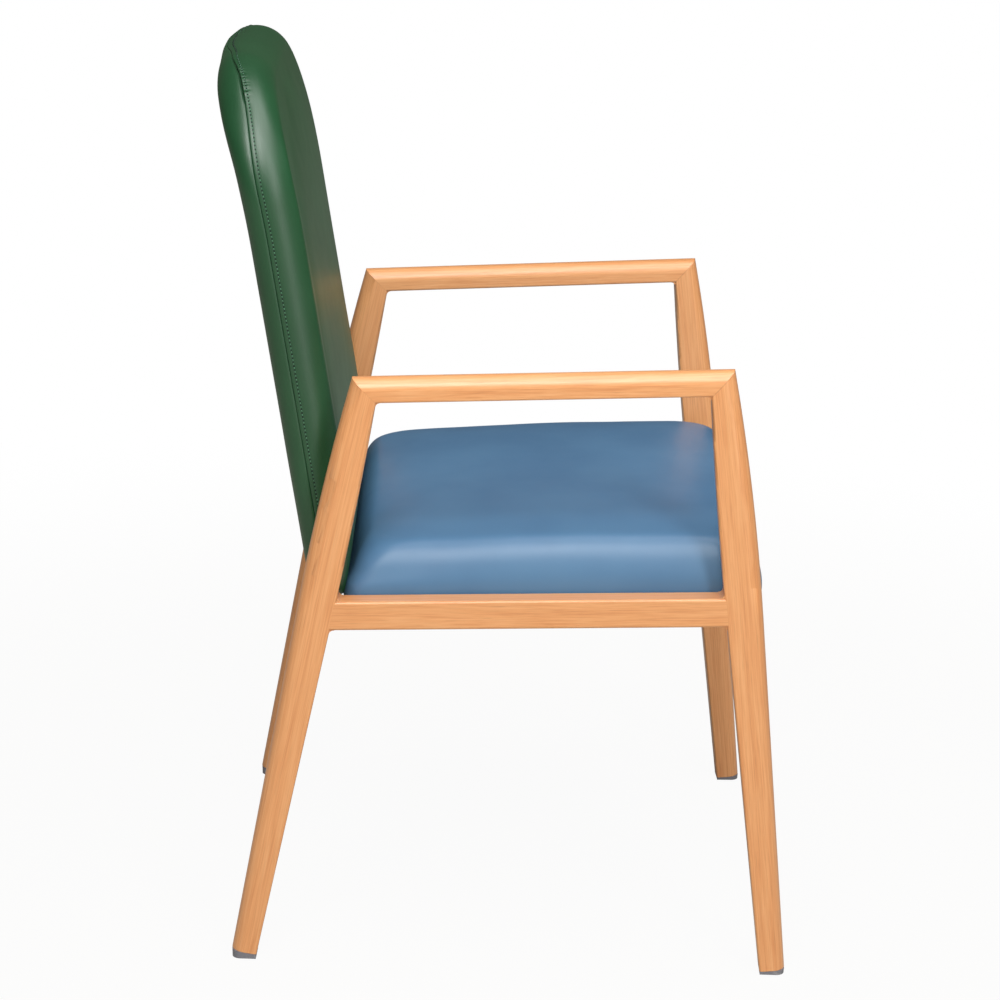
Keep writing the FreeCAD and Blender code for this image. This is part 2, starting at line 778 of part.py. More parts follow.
seat_outside = seat_cushion("seat_outside", "0", "Sizes.lining_thickness")
seat_inside = seat_cushion("seat_inside", "Sizes.cover_thickness", board_bottom)
seat_mouth = seat_block("seat_mouth", wrap_inset, "0", board_top, corner=False)
keep("seat_cover", cut("seat_cover", seat_outside, seat_inside, seat_mouth))
keep("seat_foam", seat_cushion("seat_foam", foam_inset, f"({board_top} + Sizes.foam_gap)"))

lining_holes = []
board_holes = []
nut_solids = []
screw_solids = []
nut_bore = "(Sizes.seat_screw_radius + Sizes.screw_clearance)"


def tee_nut(name, place, bore, top):
    # A flange flush with the face it is pressed into, and a barrel behind it.
    barrel_radius = f"{bore} + Sizes.tee_nut_wall"
    flange = cylinder(f"{name}_flange", "Sizes.tee_nut_flange_radius", "Sizes.tee_nut_flange",
                      moved(place, "0", "0", f"{top} - Sizes.tee_nut_flange"))
    barrel = cylinder(f"{name}_barrel", barrel_radius, "Sizes.tee_nut_length",
                      moved(place, "0", "0", f"{top} - Sizes.tee_nut_length"))
    whole = boolean("Fuse", f"{name}_whole", flange, barrel)
    thread = cylinder(f"{name}_thread", bore, "2 * Sizes.tee_nut_length",
                      moved(place, "0", "0", f"{top} - 1.5 * Sizes.tee_nut_length"))
    return cut(name, whole, thread)


def tee_nut_hole(name, place, bore, top, depth):
    # The recess for the flange and the hole right through the board.
    recess = cylinder(f"{name}_recess", "Sizes.tee_nut_flange_radius + Sizes.tee_nut_clearance",
                      "2 * Sizes.tee_nut_flange",
                      moved(place, "0", "0", f"{top} - Sizes.tee_nut_flange"))
    through = cylinder(f"{name}_through", f"{bore} + Sizes.tee_nut_wall + Sizes.tee_nut_clearance",
                       f"2 * {depth}", moved(place, "0", "0", f"{top} - 1.5 * {depth}"))
    return boolean("Fuse", name, recess, through)


def screw(name, place, radius, seat, end):
    # A round head under "seat" and a shank up to "end".
    head = cylinder(f"{name}_head", "Sizes.screw_head_radius", "Sizes.screw_head_height",
                    moved(place, "0", "0", f"{seat} - Sizes.screw_head_height"))
    shank = cylinder(f"{name}_shank", radius, f"{end} - ({seat}) + Sizes.screw_head_height",
                     moved(place, "0", "0", f"{seat} - Sizes.screw_head_height"))
    whole = boolean("Fuse", name, head, shank)
    doc.recompute()
    return whole


for number, (x, y) in enumerate(screw_spots, start=1):
    place = moved(seat_place, x, y, "0")
    lining_holes.append(cylinder(f"lining_hole{number}", nut_bore, f"{past}",
                                 moved(place, "0", "0", f"-{past} / 2")))
    board_holes.append(tee_nut_hole(f"seat_nut_hole{number}", place, nut_bore, board_top,
                                    "Sizes.seat_board_thickness"))
    nut_solids.append(tee_nut(f"seat_nut{number}", place, nut_bore, board_top))
    screw_solids.append(screw(f"seat_screw{number}", place, "Sizes.seat_screw_radius",
                              "-Sizes.plate_thickness", f"{board_top} - Sizes.screw_tip"))
board_block = seat_block("seat_board_block", board_inset, board_bottom,
                         "Sizes.seat_board_thickness")
keep("seat_board", cut("seat_board", board_block, *board_holes))
lining_block = seat_block("seat_lining_block", "Sizes.lining_margin", "0",
                          "Sizes.lining_thickness")
keep("seat_lining", cut("seat_lining", lining_block, *lining_holes))
keep("seat_tee_nuts", group("seat_tee_nuts", nut_solids))
keep("seat_screws", group("seat_screws", screw_solids))


# Back. Its own frame leans, with y rearwards through the cushion and z up along it; every layer
# is straight up to the bend and curves rearwards above it.

back_place = ("placement(vector(0; Sizes.base_y + Sizes.back_y; Sizes.back_z);"
              " rotation(vector(1; 0; 0); -Sizes.back_lean))")


def above_bend(depth, height):
    # A point on the upper arc of the layer at this depth.
    radius = f"(Sizes.back_bend_radius - ({depth}))"
    rise = f"({height} - Sizes.back_bend)"
    return f"(Sizes.back_bend_radius - sqrt({radius}^2 - {rise}^2))", height


def bent_line(depth, low, high, upwards):
    # Corners of one face of a layer, straight up to the bend and then curving rearwards.
    arc = (f"Sizes.back_bend_radius - ({depth})", -1 if upwards else 1)
    bend = value("Sizes.back_bend")
    if value(high) <= bend:
        corners = [(depth, low), (depth, high)]
    elif value(low) >= bend:
        corners = [above_bend(depth, low), above_bend(depth, high)]
    else:
        corners = [(depth, low), (depth, "Sizes.back_bend"), above_bend(depth, high)]
    if not upwards:
        corners.reverse()
    if value(high) > bend:
        start = len(corners) - 2 if upwards else 0
        corners[start] = corners[start] + (arc,)
    return corners


def arc_layer(name, front, rear, low, high, width):
    corners = bent_line(front, low, high, True) + bent_line(rear, low, high, False)
    body = new_body(name, back_place)
    pad(body, closed_outline(body, f"{name}_outline", corners), width)
    return body


def crowned_layer(name, front, low, high):
    # The front face's side view, turned about an upright axis far behind the chair.
    crown = "Sizes.back_crown_radius"
    corners = bent_line(front, low, high, True) + [(f"{past}", high), (f"{past}", low)]
    corners = [(f"{corner[0]} - {crown}",) + corner[1:] for corner in corners]
    body = new_body(name, moved(back_place, "0", crown, "0"))
    feature = body.newObject("PartDesign::Revolution", f"{name}_turn")
    feature.Profile = closed_outline(body, f"{name}_outline", corners)
    axis = [item for item in body.Origin.OriginFeatures if item.Role == "Z_Axis"][0]
    feature.ReferenceAxis = (axis, [""])
    feature.Midplane = True
    feature.setExpression("Angle", f"{room} / {crown} * 180 / pi")
    doc.recompute()
    return body


def back_outline(name, inset, low_inset=None):
    half = f"(Sizes.frame_half_width - Sizes.back_side_inset - {inset})"
    low = f"-(Sizes.back_bottom - {low_inset or inset})"
    high = f"(Sizes.back_top - Sizes.back_arch - {inset})"
    arch = (bow_radius(f"2 * {half}", "Sizes.back_arch"), 1)
    corners = ((f"-{half}", low), (half, low), (half, high, arch), (f"-{half}", high))
    body = new_body(name, back_place)
    thick = "4 * Sizes.back_front_depth"
    solid = pad(body, closed_outline(body, f"{name}_outline", corners, "XZ_Plane"), thick)
    depth = value(thick)

    def corner_at(upper):
        return lambda edge: (abs(edge.Length - depth) < touching
                             and (edge_middle(edge).z > 0) == upper)

    solid = round_edges(body, solid, f"Sizes.back_corner - {inset}", corner_at(True))
    if not low_inset:
        round_edges(body, solid, f"Sizes.back_low_corner - {inset}", corner_at(False))
    return body


def below_step(name, inset):
    # The space that the thin lower end leaves free for the seat, in side view.
    tail = f"-(Sizes.back_tail_depth - {inset})"
    bottom = f"-(Sizes.back_bottom + {past})"
    step = f"-(Sizes.back_step - {inset})"
    face = f"-(Sizes.back_front_depth + {past})"
    rise = f"Sizes.back_step_slope * ({past} + Sizes.back_front_depth)"
    corners = ((tail, bottom), (tail, step), (face, f"{step} + {rise}"), (face, bottom))
    body = new_body(name, back_place)
    pad(body, closed_outline(body, f"{name}_outline", corners), f"{room}")
    return body


def back_depth(point, crown):
    # Depth of a point in the back's layers; crown is the radius of the front face across.
    local = back_frame().inverse().multVec(point)
    depth = crown - math.hypot(local.x, crown - local.y) if crown else local.y
    rise = local.z - value("Sizes.back_bend")
    bend = value("Sizes.back_bend_radius")
    return depth if rise < 0 else bend - math.hypot(bend - depth, rise)


def at_depth(edge, depth, crown=0):
    # Rim edges of the face at this depth, without the smooth line across it at the bend.
    ends = [edge.valueAt(at) for at in (edge.FirstParameter, edge.LastParameter)]
    rises = [back_frame().inverse().multVec(point).z - value("Sizes.back_bend") for point in ends]
    across = all(abs(rise) < touching for rise in rises)
    return not across and all(abs(back_depth(point, crown) - depth) < 2 * touching
                              for point in ends)


def front_cushion(name, inset, seam):
    outline = back_outline(f"{name}_plan", inset)
    low = f"-(Sizes.back_bottom + {past})"
    high = f"Sizes.back_top + {past}"
    layer = arc_layer(f"{name}_layer", f"-(Sizes.back_front_depth + {past})", seam, low, high,
                      f"{room}")
    face = f"-(Sizes.back_front_depth - {inset})"
    crowned = crowned_layer(f"{name}_crown", face, low, high)
    flat_front = boolean("Common", f"{name}_flat", outline, layer)
    domed = boolean("Common", f"{name}_domed", flat_front, crowned)
    doc.recompute()
    soft = round_shape(f"{name}_soft", domed, f"Sizes.back_front_round - {inset}",
                       lambda edge: at_depth(edge, value(face), value("Sizes.back_crown_radius")))
    return cut(f"{name}_stepped", soft, below_step(f"{name}_step", inset))


def back_frame():
    lean = FreeCAD.Rotation(Vector(1, 0, 0), -value("Sizes.back_lean"))
    return FreeCAD.Placement(Vector(0, value("Sizes.base_y + Sizes.back_y"), value("Sizes.back_z")),
                             lean)


def rear_cushion(name, inset, seam):
    outline = back_outline(f"{name}_plan", inset)
    rear = f"(Sizes.back_rear_depth - {inset})"
    layer = arc_layer(f"{name}_layer", seam, rear, f"-(Sizes.back_bottom + {past})",
                      f"Sizes.back_top + {past}", f"{room}")
    whole = boolean("Common", f"{name}_flat", outline, layer)
    doc.recompute()
    return round_shape(f"{name}_soft", whole, f"Sizes.back_rear_round - {inset}",
                       lambda edge: at_depth(edge, value(rear)))


upright_front = "-(Sizes.back_board_front - Sizes.back_board_thickness)"
upright_rear = f"({upright_front} + Sizes.upright_depth)"


def back_tube(name, low, high, x, width, ends_open):
    # A flat tube that follows the back's arc, standing or lying.
    place = f"placement(vector({x}; 0; 0); rotation(vector(0; 0; 1); 0))"
    wall = "Sizes.upright_wall"
    outside = arc_layer(f"{name}_outside", upright_front, upright_rear, low, high, width)
    if ends_open == "ends":
        bore = arc_layer(f"{name}_bore", f"{upright_front} + {wall}", f"{upright_rear} - {wall}",
                         f"{low} - {past}", f"{high} + {past}", f"{width} - 2 * {wall}")
    else:
        bore = arc_layer(f"{name}_bore", f"{upright_front} + {wall}", f"{upright_rear} - {wall}",
                         f"{low} + {wall}", f"{high} - {wall}", f"{width} + {past}")
    for body in (outside, bore):
        body.setExpression("Placement", f"{place} * {back_place}")
    return outside, bore


def on_back(x, height):
    # z of this place points forwards, from the seam towards the sitter.
    forwards = "placement(vector(0; 0; 0); rotation(vector(1; 0; 0); 90))"
    return f"{moved(back_place, x, '0', height)} * {forwards}"


back_spots = [(f"{sign} * Sizes.upright_x", height)
              for sign in side_signs.values()
              for height in ("Sizes.back_screw_low", "Sizes.back_screw_high")]
nut_bore = "(Sizes.back_screw_radius + Sizes.screw_clearance)"
board_face = "Sizes.back_board_front"
back_nut_holes = []
back_nuts = []
back_screws = []
upright_holes = []
for number, (x, height) in enumerate(back_spots, start=1):
    place = on_back(x, height)
    back_nut_holes.append(tee_nut_hole(f"back_nut_hole{number}", place, nut_bore, board_face,
                                       "Sizes.back_board_thickness"))
    back_nuts.append(tee_nut(f"back_nut{number}", place, nut_bore, board_face))
    upright_holes.append(cylinder(f"upright_hole{number}", nut_bore, "4 * Sizes.upright_depth",
                                  moved(place, "0", "0", "-2 * Sizes.upright_depth")))
    back_screws.append(screw(f"back_screw{number}", place, "Sizes.back_screw_radius",
                             f"-{upright_rear}", f"{board_face} - Sizes.screw_tip"))

rail_top = box("rear_rail_top", f"2 * {room}", f"{room}", f"{room}",
               moved(seat_place, f"-{room}", "0", f"-Sizes.rear_cross_rail_drop - {room}"))
slots = []
for side, sign in side_signs.items():
    name = f"back_{side}_upright"
    x = f"{sign} * Sizes.upright_x"
    outside, bore = back_tube(name, f"-(Sizes.back_bottom + {past})", "Sizes.upright_top", x,
                              "Sizes.upright_width", "ends")
    keep(name, cut(name, outside, bore, rail_top, *upright_holes))
    gap = "Sizes.foam_gap"
    slot = arc_layer(f"{name}_slot", f"{upright_front} - {gap}", f"{upright_rear} + {gap}",
                     f"-(Sizes.back_bottom + {past})", f"-(Sizes.back_bottom - {past})",
                     f"Sizes.upright_width + 2 * {gap}")
    slot.setExpression("Placement", f"placement(vector({x}; 0; 0); rotation(vector(0; 0; 1); 0))"
                       f" * {back_place}")
    slots.append(slot)

for bar in ("lower", "middle", "upper"):
    name = f"back_{bar}_bar"
    middle = f"Sizes.back_{bar}_bar_height"
    outside, bore = back_tube(name, f"{middle} - Sizes.back_bar_height / 2",
                              f"{middle} + Sizes.back_bar_height / 2", "0",
                              "2 * Sizes.upright_x - Sizes.upright_width", "sides")
    keep(name, cut(name, outside, bore))

board_plan = back_outline("back_board_plan", "Sizes.back_board_margin")
board_layer = arc_layer("back_board_layer", f"-{board_face}", upright_front,
                        f"-(Sizes.back_bottom + {past})", f"Sizes.back_top + {past}", f"{room}")
board_solid = boolean("Common", "back_board_solid", board_plan, board_layer)
keep("back_board", cut("back_board", board_solid, *back_nut_holes))

hollow_plan = back_outline("back_hollow_plan", "(Sizes.back_board_margin - Sizes.foam_gap)",
                           f"(-{past})")
hollow_layer = arc_layer("back_hollow_layer", f"-({board_face} + Sizes.foam_gap)",
                         f"{upright_rear} + Sizes.screw_head_height + Sizes.foam_gap",
                         f"-(Sizes.back_bottom + {past})", f"Sizes.back_top + {past}", f"{room}")
hollow = boolean("Common", "back_hollow", hollow_plan, hollow_layer)

front_outside = front_cushion("back_front_outside", "0", "0")
front_inside = front_cushion("back_front_inside", "Sizes.cover_thickness", f"{beyond}")
keep("back_front_cover", cut("back_front_cover", front_outside, front_inside, *slots))
front_filling = front_cushion("back_front_filling", foam_inset, "-Sizes.foam_gap / 2")
keep("back_front_foam", cut("back_front_foam", front_filling, hollow))
rear_outside = rear_cushion("back_rear_outside", "0", "0")
rear_inside = rear_cushion("back_rear_inside", "Sizes.cover_thickness", f"-{beyond}")
keep("back_rear_cover", cut("back_rear_cover", rear_outside, rear_inside, *slots))
rear_filling = rear_cushion("back_rear_filling", foam_inset, "Sizes.foam_gap / 2")
keep("back_rear_foam", cut("back_rear_foam", rear_filling, hollow))
keep("back_tee_nuts", group("back_tee_nuts", back_nuts))
keep("back_screws", group("back_screws", back_screws))

doc.recompute()
for feature in doc.Objects:
    if "Invalid" in feature.State or "Error" in feature.State:
        raise RuntimeError(f"{feature.Name} did not build: {feature.State}")
os.makedirs("parts", exist_ok=True)
for feature in nodes:
    shape = feature.Shape
    if shape.isNull() or not shape.isValid():
        raise RuntimeError(f"{feature.Label} is not a valid solid")
    shape.exportStep(f"parts/{feature.Label}.step")
    low = shape.BoundBox
    print(feature.Label, len(shape.Solids), round(shape.Volume / 1000, 2), "cm3",
          [round(v, 1) for v in (low.XMin, low.XMax, low.YMin, low.YMax, low.ZMin, low.ZMax)])
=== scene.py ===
import math

import bmesh
import bpy
import numpy as np
from mathutils import Matrix, Vector


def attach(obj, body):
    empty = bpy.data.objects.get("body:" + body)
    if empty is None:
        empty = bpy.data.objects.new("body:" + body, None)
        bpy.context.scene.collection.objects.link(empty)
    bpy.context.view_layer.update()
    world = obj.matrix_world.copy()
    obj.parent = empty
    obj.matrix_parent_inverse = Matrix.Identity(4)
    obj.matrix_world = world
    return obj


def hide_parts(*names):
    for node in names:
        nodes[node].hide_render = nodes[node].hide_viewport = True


# Armchair: wood-grain aluminium frame, blue vinyl seat, high green vinyl back.
# Metres, except that the dictionaries of the soft pieces are in millimetres.

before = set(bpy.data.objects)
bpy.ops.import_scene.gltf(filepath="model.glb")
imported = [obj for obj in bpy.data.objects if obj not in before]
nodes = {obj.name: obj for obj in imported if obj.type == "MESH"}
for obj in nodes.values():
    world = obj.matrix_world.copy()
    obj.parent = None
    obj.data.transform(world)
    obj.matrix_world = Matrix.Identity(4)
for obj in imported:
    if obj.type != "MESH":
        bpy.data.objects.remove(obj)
scene = bpy.context.scene
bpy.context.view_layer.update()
sides = ("right", "left")
ends = ("front", "rear")
print("frame loaded:", len(nodes), "nodes")


def addObject(name, data):
    made = bpy.data.objects.new(name, data)
    scene.collection.objects.link(made)
    return made


def evaluated(piece):
    return piece.evaluated_get(bpy.context.evaluated_depsgraph_get())


def coat(finish, *names):
    for name in names:
        nodes[name].data.materials.clear()
        nodes[name].data.materials.append(finish)


# shader helpers

def paint(red, green, blue):
    # screen colour, 0 to 255, as the linear colour that a socket takes
    parts = [part / 255 for part in (red, green, blue)]
    parts = [p / 12.92 if p <= 0.04045 else ((p + 0.055) / 1.055) ** 2.4 for p in parts]
    return (*parts, 1.0)


class Wire:
    # one socket of a node tree; arithmetic on it adds Math nodes
    def __init__(self, tree, socket=None):
        self.tree = tree
        self.socket = socket

    def node(self, kind, settings=None, inputs=None, out=0):
        made = self.tree.nodes.new(kind)
        for key, setting in (settings or {}).items():
            if key == "stops":
                stops = made.color_ramp.elements
                while len(stops) < len(setting):
                    stops.new(0.5)
                for stop, (place, colour) in zip(stops, setting):
                    stop.position = place
                    stop.color = colour
            else:
                setattr(made, key, setting)
        for key, given in (inputs or {}).items():
            if isinstance(given, Wire):
                self.tree.links.new(given.socket, made.inputs[key])
            else:
                made.inputs[key].default_value = given
        return Wire(self.tree, made.outputs[out] if made.outputs else None)

    def out(self, key):
        # another output of the same node
        return Wire(self.tree, self.socket.node.outputs[key])

    def math(self, operation, first, second=0.0):
        return self.node("ShaderNodeMath", {"operation": operation}, {0: first, 1: second})

    def __add__(self, other):
        return self.math("ADD", self, other)

    __radd__ = __add__

    def __sub__(self, other):
        return self.math("SUBTRACT", self, other)

    def __rsub__(self, other):
        return self.math("SUBTRACT", other, self)

    def __mul__(self, other):
        return self.math("MULTIPLY", self, other)

    __rmul__ = __mul__

    def __abs__(self):
        return self.math("ABSOLUTE", self)

    def atLeast(self, least):
        return self.math("MAXIMUM", self, least)

    def ramp(self, low, high):
        # 0 below low, 1 above high, smooth between
        return self.node("ShaderNodeMapRange", {"interpolation_type": "SMOOTHSTEP"},
                         {"Value": self, "From Min": low, "From Max": high})

    def mix(self, first, second, blend="MIX"):
        # self is the share of the second colour
        return self.node("ShaderNodeMix", {"data_type": "RGBA", "blend_type": blend},
                         {0: self, 6: first, 7: second}, out=2)


def newFinish(name):
    material = bpy.data.materials.new(name)
    material.use_nodes = True
    material.node_tree.nodes.clear()
    return material, Wire(material.node_tree)


def closeFinish(tree, sockets):
    shader = tree.node("ShaderNodeBsdfPrincipled", None, sockets)
    tree.node("ShaderNodeOutputMaterial", None, {"Surface": shader})


def place(tree):
    # x, y and z in the chair's own frame
    where = tree.node("ShaderNodeTexCoord", out="Object")
    split = tree.node("ShaderNodeSeparateXYZ", None, {0: where})
    return where, [split.out(axis) for axis in "XYZ"]


def noise(tree, where, scale, detail=2.0, roughness=0.5):
    return tree.node("ShaderNodeTexNoise", None,
                     {"Vector": where, "Scale": scale, "Detail": detail, "Roughness": roughness})


def bump(tree, height, strength, distance, over=None):
    # over is a coarser bump under this one
    sockets = {"Height": height, "Strength": strength, "Distance": distance}
    if over:
        sockets["Normal"] = over
    return tree.node("ShaderNodeBump", None, sockets)


# wood-grain transfer on the frame's tubes

woodGrain = {
    "light": paint(242, 179, 123),
    "middle": paint(234, 165, 108),
    "dark": paint(221, 147, 92),
    "pore": 0.91,                # how dark the fine pores are
    "streak": (760, 11),         # per metre across and along the tube
    "band": (130, 3.0),
    "poreScale": (1150, 28),
    "bandShare": 0.3,
    "toneRange": (0.28, 0.72),
    "poreRange": (0.60, 0.72),
    "relief": 0.0001,
    "roughness": 0.36,
    "coat": 0.3,
    "coatRoughness": 0.28,
}
# slope of each kind of tube, and how fast it curves on above the knee
grainRuns = {"front_leg": (-0.122, -0.06), "rear_leg": (0.1825, 0.068), "armrest": (0.0506, 0.0),
             "side_rail": (0.0407, 0.0), "cross_rail": (0.7, 0.0)}
kneeHeight = 0.4
# mitre lines in the side view: outer corner and inner corner, y and z, and how plain it shows
mitres = {"front": ((-0.2260, 0.6613), (-0.2026, 0.6348), 0.38),
          "rear": ((0.1631, 0.6416), (0.1379, 0.6176), 0.14)}
mitreLine = {"width": 0.0006, "above": (0.600, 0.604), "colour": paint(150, 88, 50)}


def grainWay(way, x, y, z):
    # places along and across the tube
    slope, curve = grainRuns[way]
    if way == "cross_rail":
        return x, y + z * slope
    if way in ("armrest", "side_rail"):
        return y, z + y * slope
    above = z - kneeHeight
    return z, y + z * slope + above.atLeast(0.0) * above * curve


def mitreMask(y, z):
    # the lines where the arm meets the legs, each as plain as it shows
    mask = 0.0
    for (outerY, outerZ), (innerY, innerZ), plain in mitres.values():
        length = math.hypot(innerY - outerY, innerZ - outerZ)
        overY = (innerZ - outerZ) / length
        overZ = -(innerY - outerY) / length
        away = abs((y - outerY) * overY + (z - outerZ) * overZ)
        mask = mask + (1.0 - away.ramp(0.0, mitreLine["width"])) * plain
    return mask * z.ramp(*mitreLine["above"])


def woodFinish(name, way, shift):
    material, tree = newFinish(name)
    _, (x, y, z) = place(tree)
    along, across = grainWay(way, x, y, z)
    side = y * 0.4 if way == "cross_rail" else x

    def grain(scales, detail, roughness):
        vector = tree.node("ShaderNodeCombineXYZ", None,
                           {0: side * scales[0] + shift, 1: across * scales[0],
                            2: along * scales[1]})
        return noise(tree, vector, 1.0, detail, roughness)

    streak = grain(woodGrain["streak"], 3.0, 0.6)
    band = grain(woodGrain["band"], 2.0, 0.5)
    pore = grain(woodGrain["poreScale"], 1.0, 0.5).ramp(*woodGrain["poreRange"])
    share = woodGrain["bandShare"]
    tone = (streak * (1 - share) + band * share).ramp(*woodGrain["toneRange"])
    colour = tree.node("ShaderNodeValToRGB", {"stops": ((0.0, woodGrain["dark"]),
                                                        (0.5, woodGrain["middle"]),
                                                        (1.0, woodGrain["light"]))}, {0: tone})
    colour = pore.mix(colour, (*[woodGrain["pore"]] * 3, 1.0), "MULTIPLY")
    height = tone * 0.5 - pore * 0.8
    if way in ("front_leg", "rear_leg", "armrest"):
        joint = mitreMask(y, z)
        colour = joint.mix(colour, mitreLine["colour"])
        height = height - joint * 3.0
    closeFinish(tree, {"Base Color": colour,
                       "Roughness": woodGrain["roughness"] + pore * 0.12 - tone * 0.04,
                       "Normal": bump(tree, height, 0.25, woodGrain["relief"]),
                       "Coat Weight": woodGrain["coat"],
                       "Coat Roughness": woodGrain["coatRoughness"]})
    return material


for number, side in enumerate(sides):
    for step, way in enumerate(("front_leg", "rear_leg", "armrest", "side_rail")):
        shift = 17.0 * step + 71.0 * number     # each tube has its own stretch of grain
        finish = woodFinish(f"woodGrain_{side}_{way}", way, shift)
        coat(finish, f"{side}_{way}")
    coat(finish, f"{side}_frame_welds")         # the welds go with the rail
coat(woodFinish("woodGrain_cross", "cross_rail", 211.0), "front_cross_rail", "rear_cross_rail",
     *(f"{side}_{end}_corner_plate" for side in sides for end in ends))
print("frame finished in wood grain")


# small hard pieces

glidePlastic = {"colour": paint(126, 126, 133), "scuffed": paint(168, 166, 166), "roughness": 0.5,
                "pebble": 1600.0, "scuff": 140.0, "scuffTop": (0.0005, 0.006)}


def glideFinish():
    material, tree = newFinish("glidePlastic")
    where, (_, _, z) = place(tree)
    pebble = noise(tree, where, glidePlastic["pebble"])
    low = 1.0 - z.ramp(*glidePlastic["scuffTop"])     # only the edge at the floor is scuffed
    scuff = noise(tree, where, glidePlastic["scuff"], 4.0, 0.65).ramp(0.50, 0.72) * low
    closeFinish(tree, {"Base Color": scuff.mix(glidePlastic["colour"], glidePlastic["scuffed"]),
                       "Roughness": glidePlastic["roughness"] + scuff * 0.2,
                       "Normal": bump(tree, pebble, 0.2, 0.0002)})
    return material


zincPlate = {"colour": paint(176, 178, 184), "dull": paint(138, 138, 142), "cloud": 420.0}


def zincFinish():
    material, tree = newFinish("zincPlate")
    where, _ = place(tree)
    cloud = noise(tree, where, zincPlate["cloud"], 3.0, 0.6)
    closeFinish(tree, {"Base Color": cloud.ramp(0.35, 0.7).mix(zincPlate["colour"],
                                                               zincPlate["dull"]),
                       "Metallic": 1.0, "Roughness": 0.28 + cloud * 0.2})
    return material


blackCoat = {"colour": paint(38, 38, 40), "speck": paint(58, 58, 61), "peel": 900.0}


def blackFinish():
    material, tree = newFinish("blackPowderCoat")
    where, _ = place(tree)
    peel = noise(tree, where, blackCoat["peel"])
    closeFinish(tree, {"Base Color": peel.ramp(0.45, 0.75).mix(blackCoat["colour"],
                                                               blackCoat["speck"]),
                       "Roughness": 0.42 + peel * 0.16, "Normal": bump(tree, peel, 0.3, 0.0002)})
    return material


plywood = {"face": paint(214, 182, 136), "dark": paint(176, 136, 92),
           "figure": (260.0, 9.0, 400.0)}     # per metre in x, y and z


def plywoodFinish():
    material, tree = newFinish("plywood")
    _, parts = place(tree)
    stretched = tree.node("ShaderNodeCombineXYZ", None, {
        axis: part * scale for axis, part, scale in zip("XYZ", parts, plywood["figure"])})
    figure = noise(tree, stretched, 1.0, 4.0, 0.6)
    closeFinish(tree, {"Base Color": figure.ramp(0.35, 0.7).mix(plywood["face"], plywood["dark"]),
                       "Roughness": 0.62 + figure * 0.2,
                       "Normal": bump(tree, figure, 0.2, 0.0003)})
    return material


coat(glideFinish(), *(f"{side}_{end}_glide" for side in sides for end in ends))
coat(zincFinish(), "seat_tee_nuts", "seat_screws", "back_tee_nuts", "back_screws")
coat(blackFinish(), "back_right_upright", "back_left_upright",
     *(f"back_{level}_bar" for level in ("lower", "middle", "upper")))
coat(plywoodFinish(), "seat_board", "back_board")
print("glides, fasteners, uprights and boards finished")


# vinyl

seatVinyl = {"colour": paint(89, 130, 166), "deep": paint(80, 120, 157), "roughness": 0.34,
             "gloss": 0.5, "sheen": 0.0, "sheenTint": (1.0, 1.0, 1.0, 1.0)}
backVinyl = {"colour": paint(27, 79, 45), "deep": paint(22, 70, 39), "roughness": 0.36,
             "gloss": 0.8, "sheen": 0.05, "sheenTint": (0.45, 0.85, 0.45, 1.0)}
vinylGrain = {"cell": 1100.0, "fine": 2600.0, "cloud": 5.0, "strength": 0.10, "depth": 0.0003}
# wrinkles drawn in by the seam, strong at the heights of the top corners and faint at the sides, and
# the colour of the painted shade in the seam's groove
seamPuckersAndPaintedShade = {"reach": 14.0, "spacing": 0.2, "skew": 0.012, "depth": 0.003, "sides": 0.03,
               "comes": (0.902, 0.918), "goes": (0.936, 0.945), "shade": paint(18, 48, 30)}


def vinylFinish(name, shade, seamed=False):
    material, tree = newFinish(name)
    where, (_, _, z) = place(tree)
    cell = tree.node("ShaderNodeTexVoronoi", {"feature": "F1"},
                     {"Vector": where, "Scale": vinylGrain["cell"]})
    fine = noise(tree, where, vinylGrain["fine"], 2.0)
    cloud = noise(tree, where, vinylGrain["cloud"], 3.0, 0.55)
    colour = cloud.ramp(0.32, 0.68).mix(shade["colour"], shade["deep"])
    folds = None
    if seamed:
        run = tree.node("ShaderNodeAttribute", {"attribute_name": "seamRun"}, out="Fac")
        away = tree.node("ShaderNodeAttribute", {"attribute_name": "seamAway"}, out="Fac")
        line = tree.node("ShaderNodeCombineXYZ", None,
                         {0: run * seamPuckersAndPaintedShade["spacing"], 1: away * seamPuckersAndPaintedShade["skew"]})
        ripple = noise(tree, line, 1.0, 1.5, 0.4)
        close = (1.0 - away.ramp(0.5, seamPuckersAndPaintedShade["reach"])) * away.ramp(0.0, 1.5)
        corner = z.ramp(*seamPuckersAndPaintedShade["comes"]) * (1.0 - z.ramp(*seamPuckersAndPaintedShade["goes"]))
        folds = bump(tree, ripple * close * (corner + seamPuckersAndPaintedShade["sides"]), 1.0,
                     seamPuckersAndPaintedShade["depth"])
        # painted shade in the seam's groove: the colour darkens towards the seam line
        colour = ((1.0 - away.ramp(0.05, 0.4)) * 0.7).mix(colour, seamPuckersAndPaintedShade["shade"])
    closeFinish(tree, {"Base Color": colour, "Specular IOR Level": shade["gloss"],
                       "Sheen Weight": shade["sheen"], "Sheen Tint": shade["sheenTint"],
                       "Roughness": shade["roughness"] + noise(tree, where, 38.0, 3.0) * 0.08,
                       "Normal": bump(tree, cell + fine * 0.5, vinylGrain["strength"],
                                      vinylGrain["depth"], folds)})
    return material


# soft forms: rings of points round a plan, capped at both ends

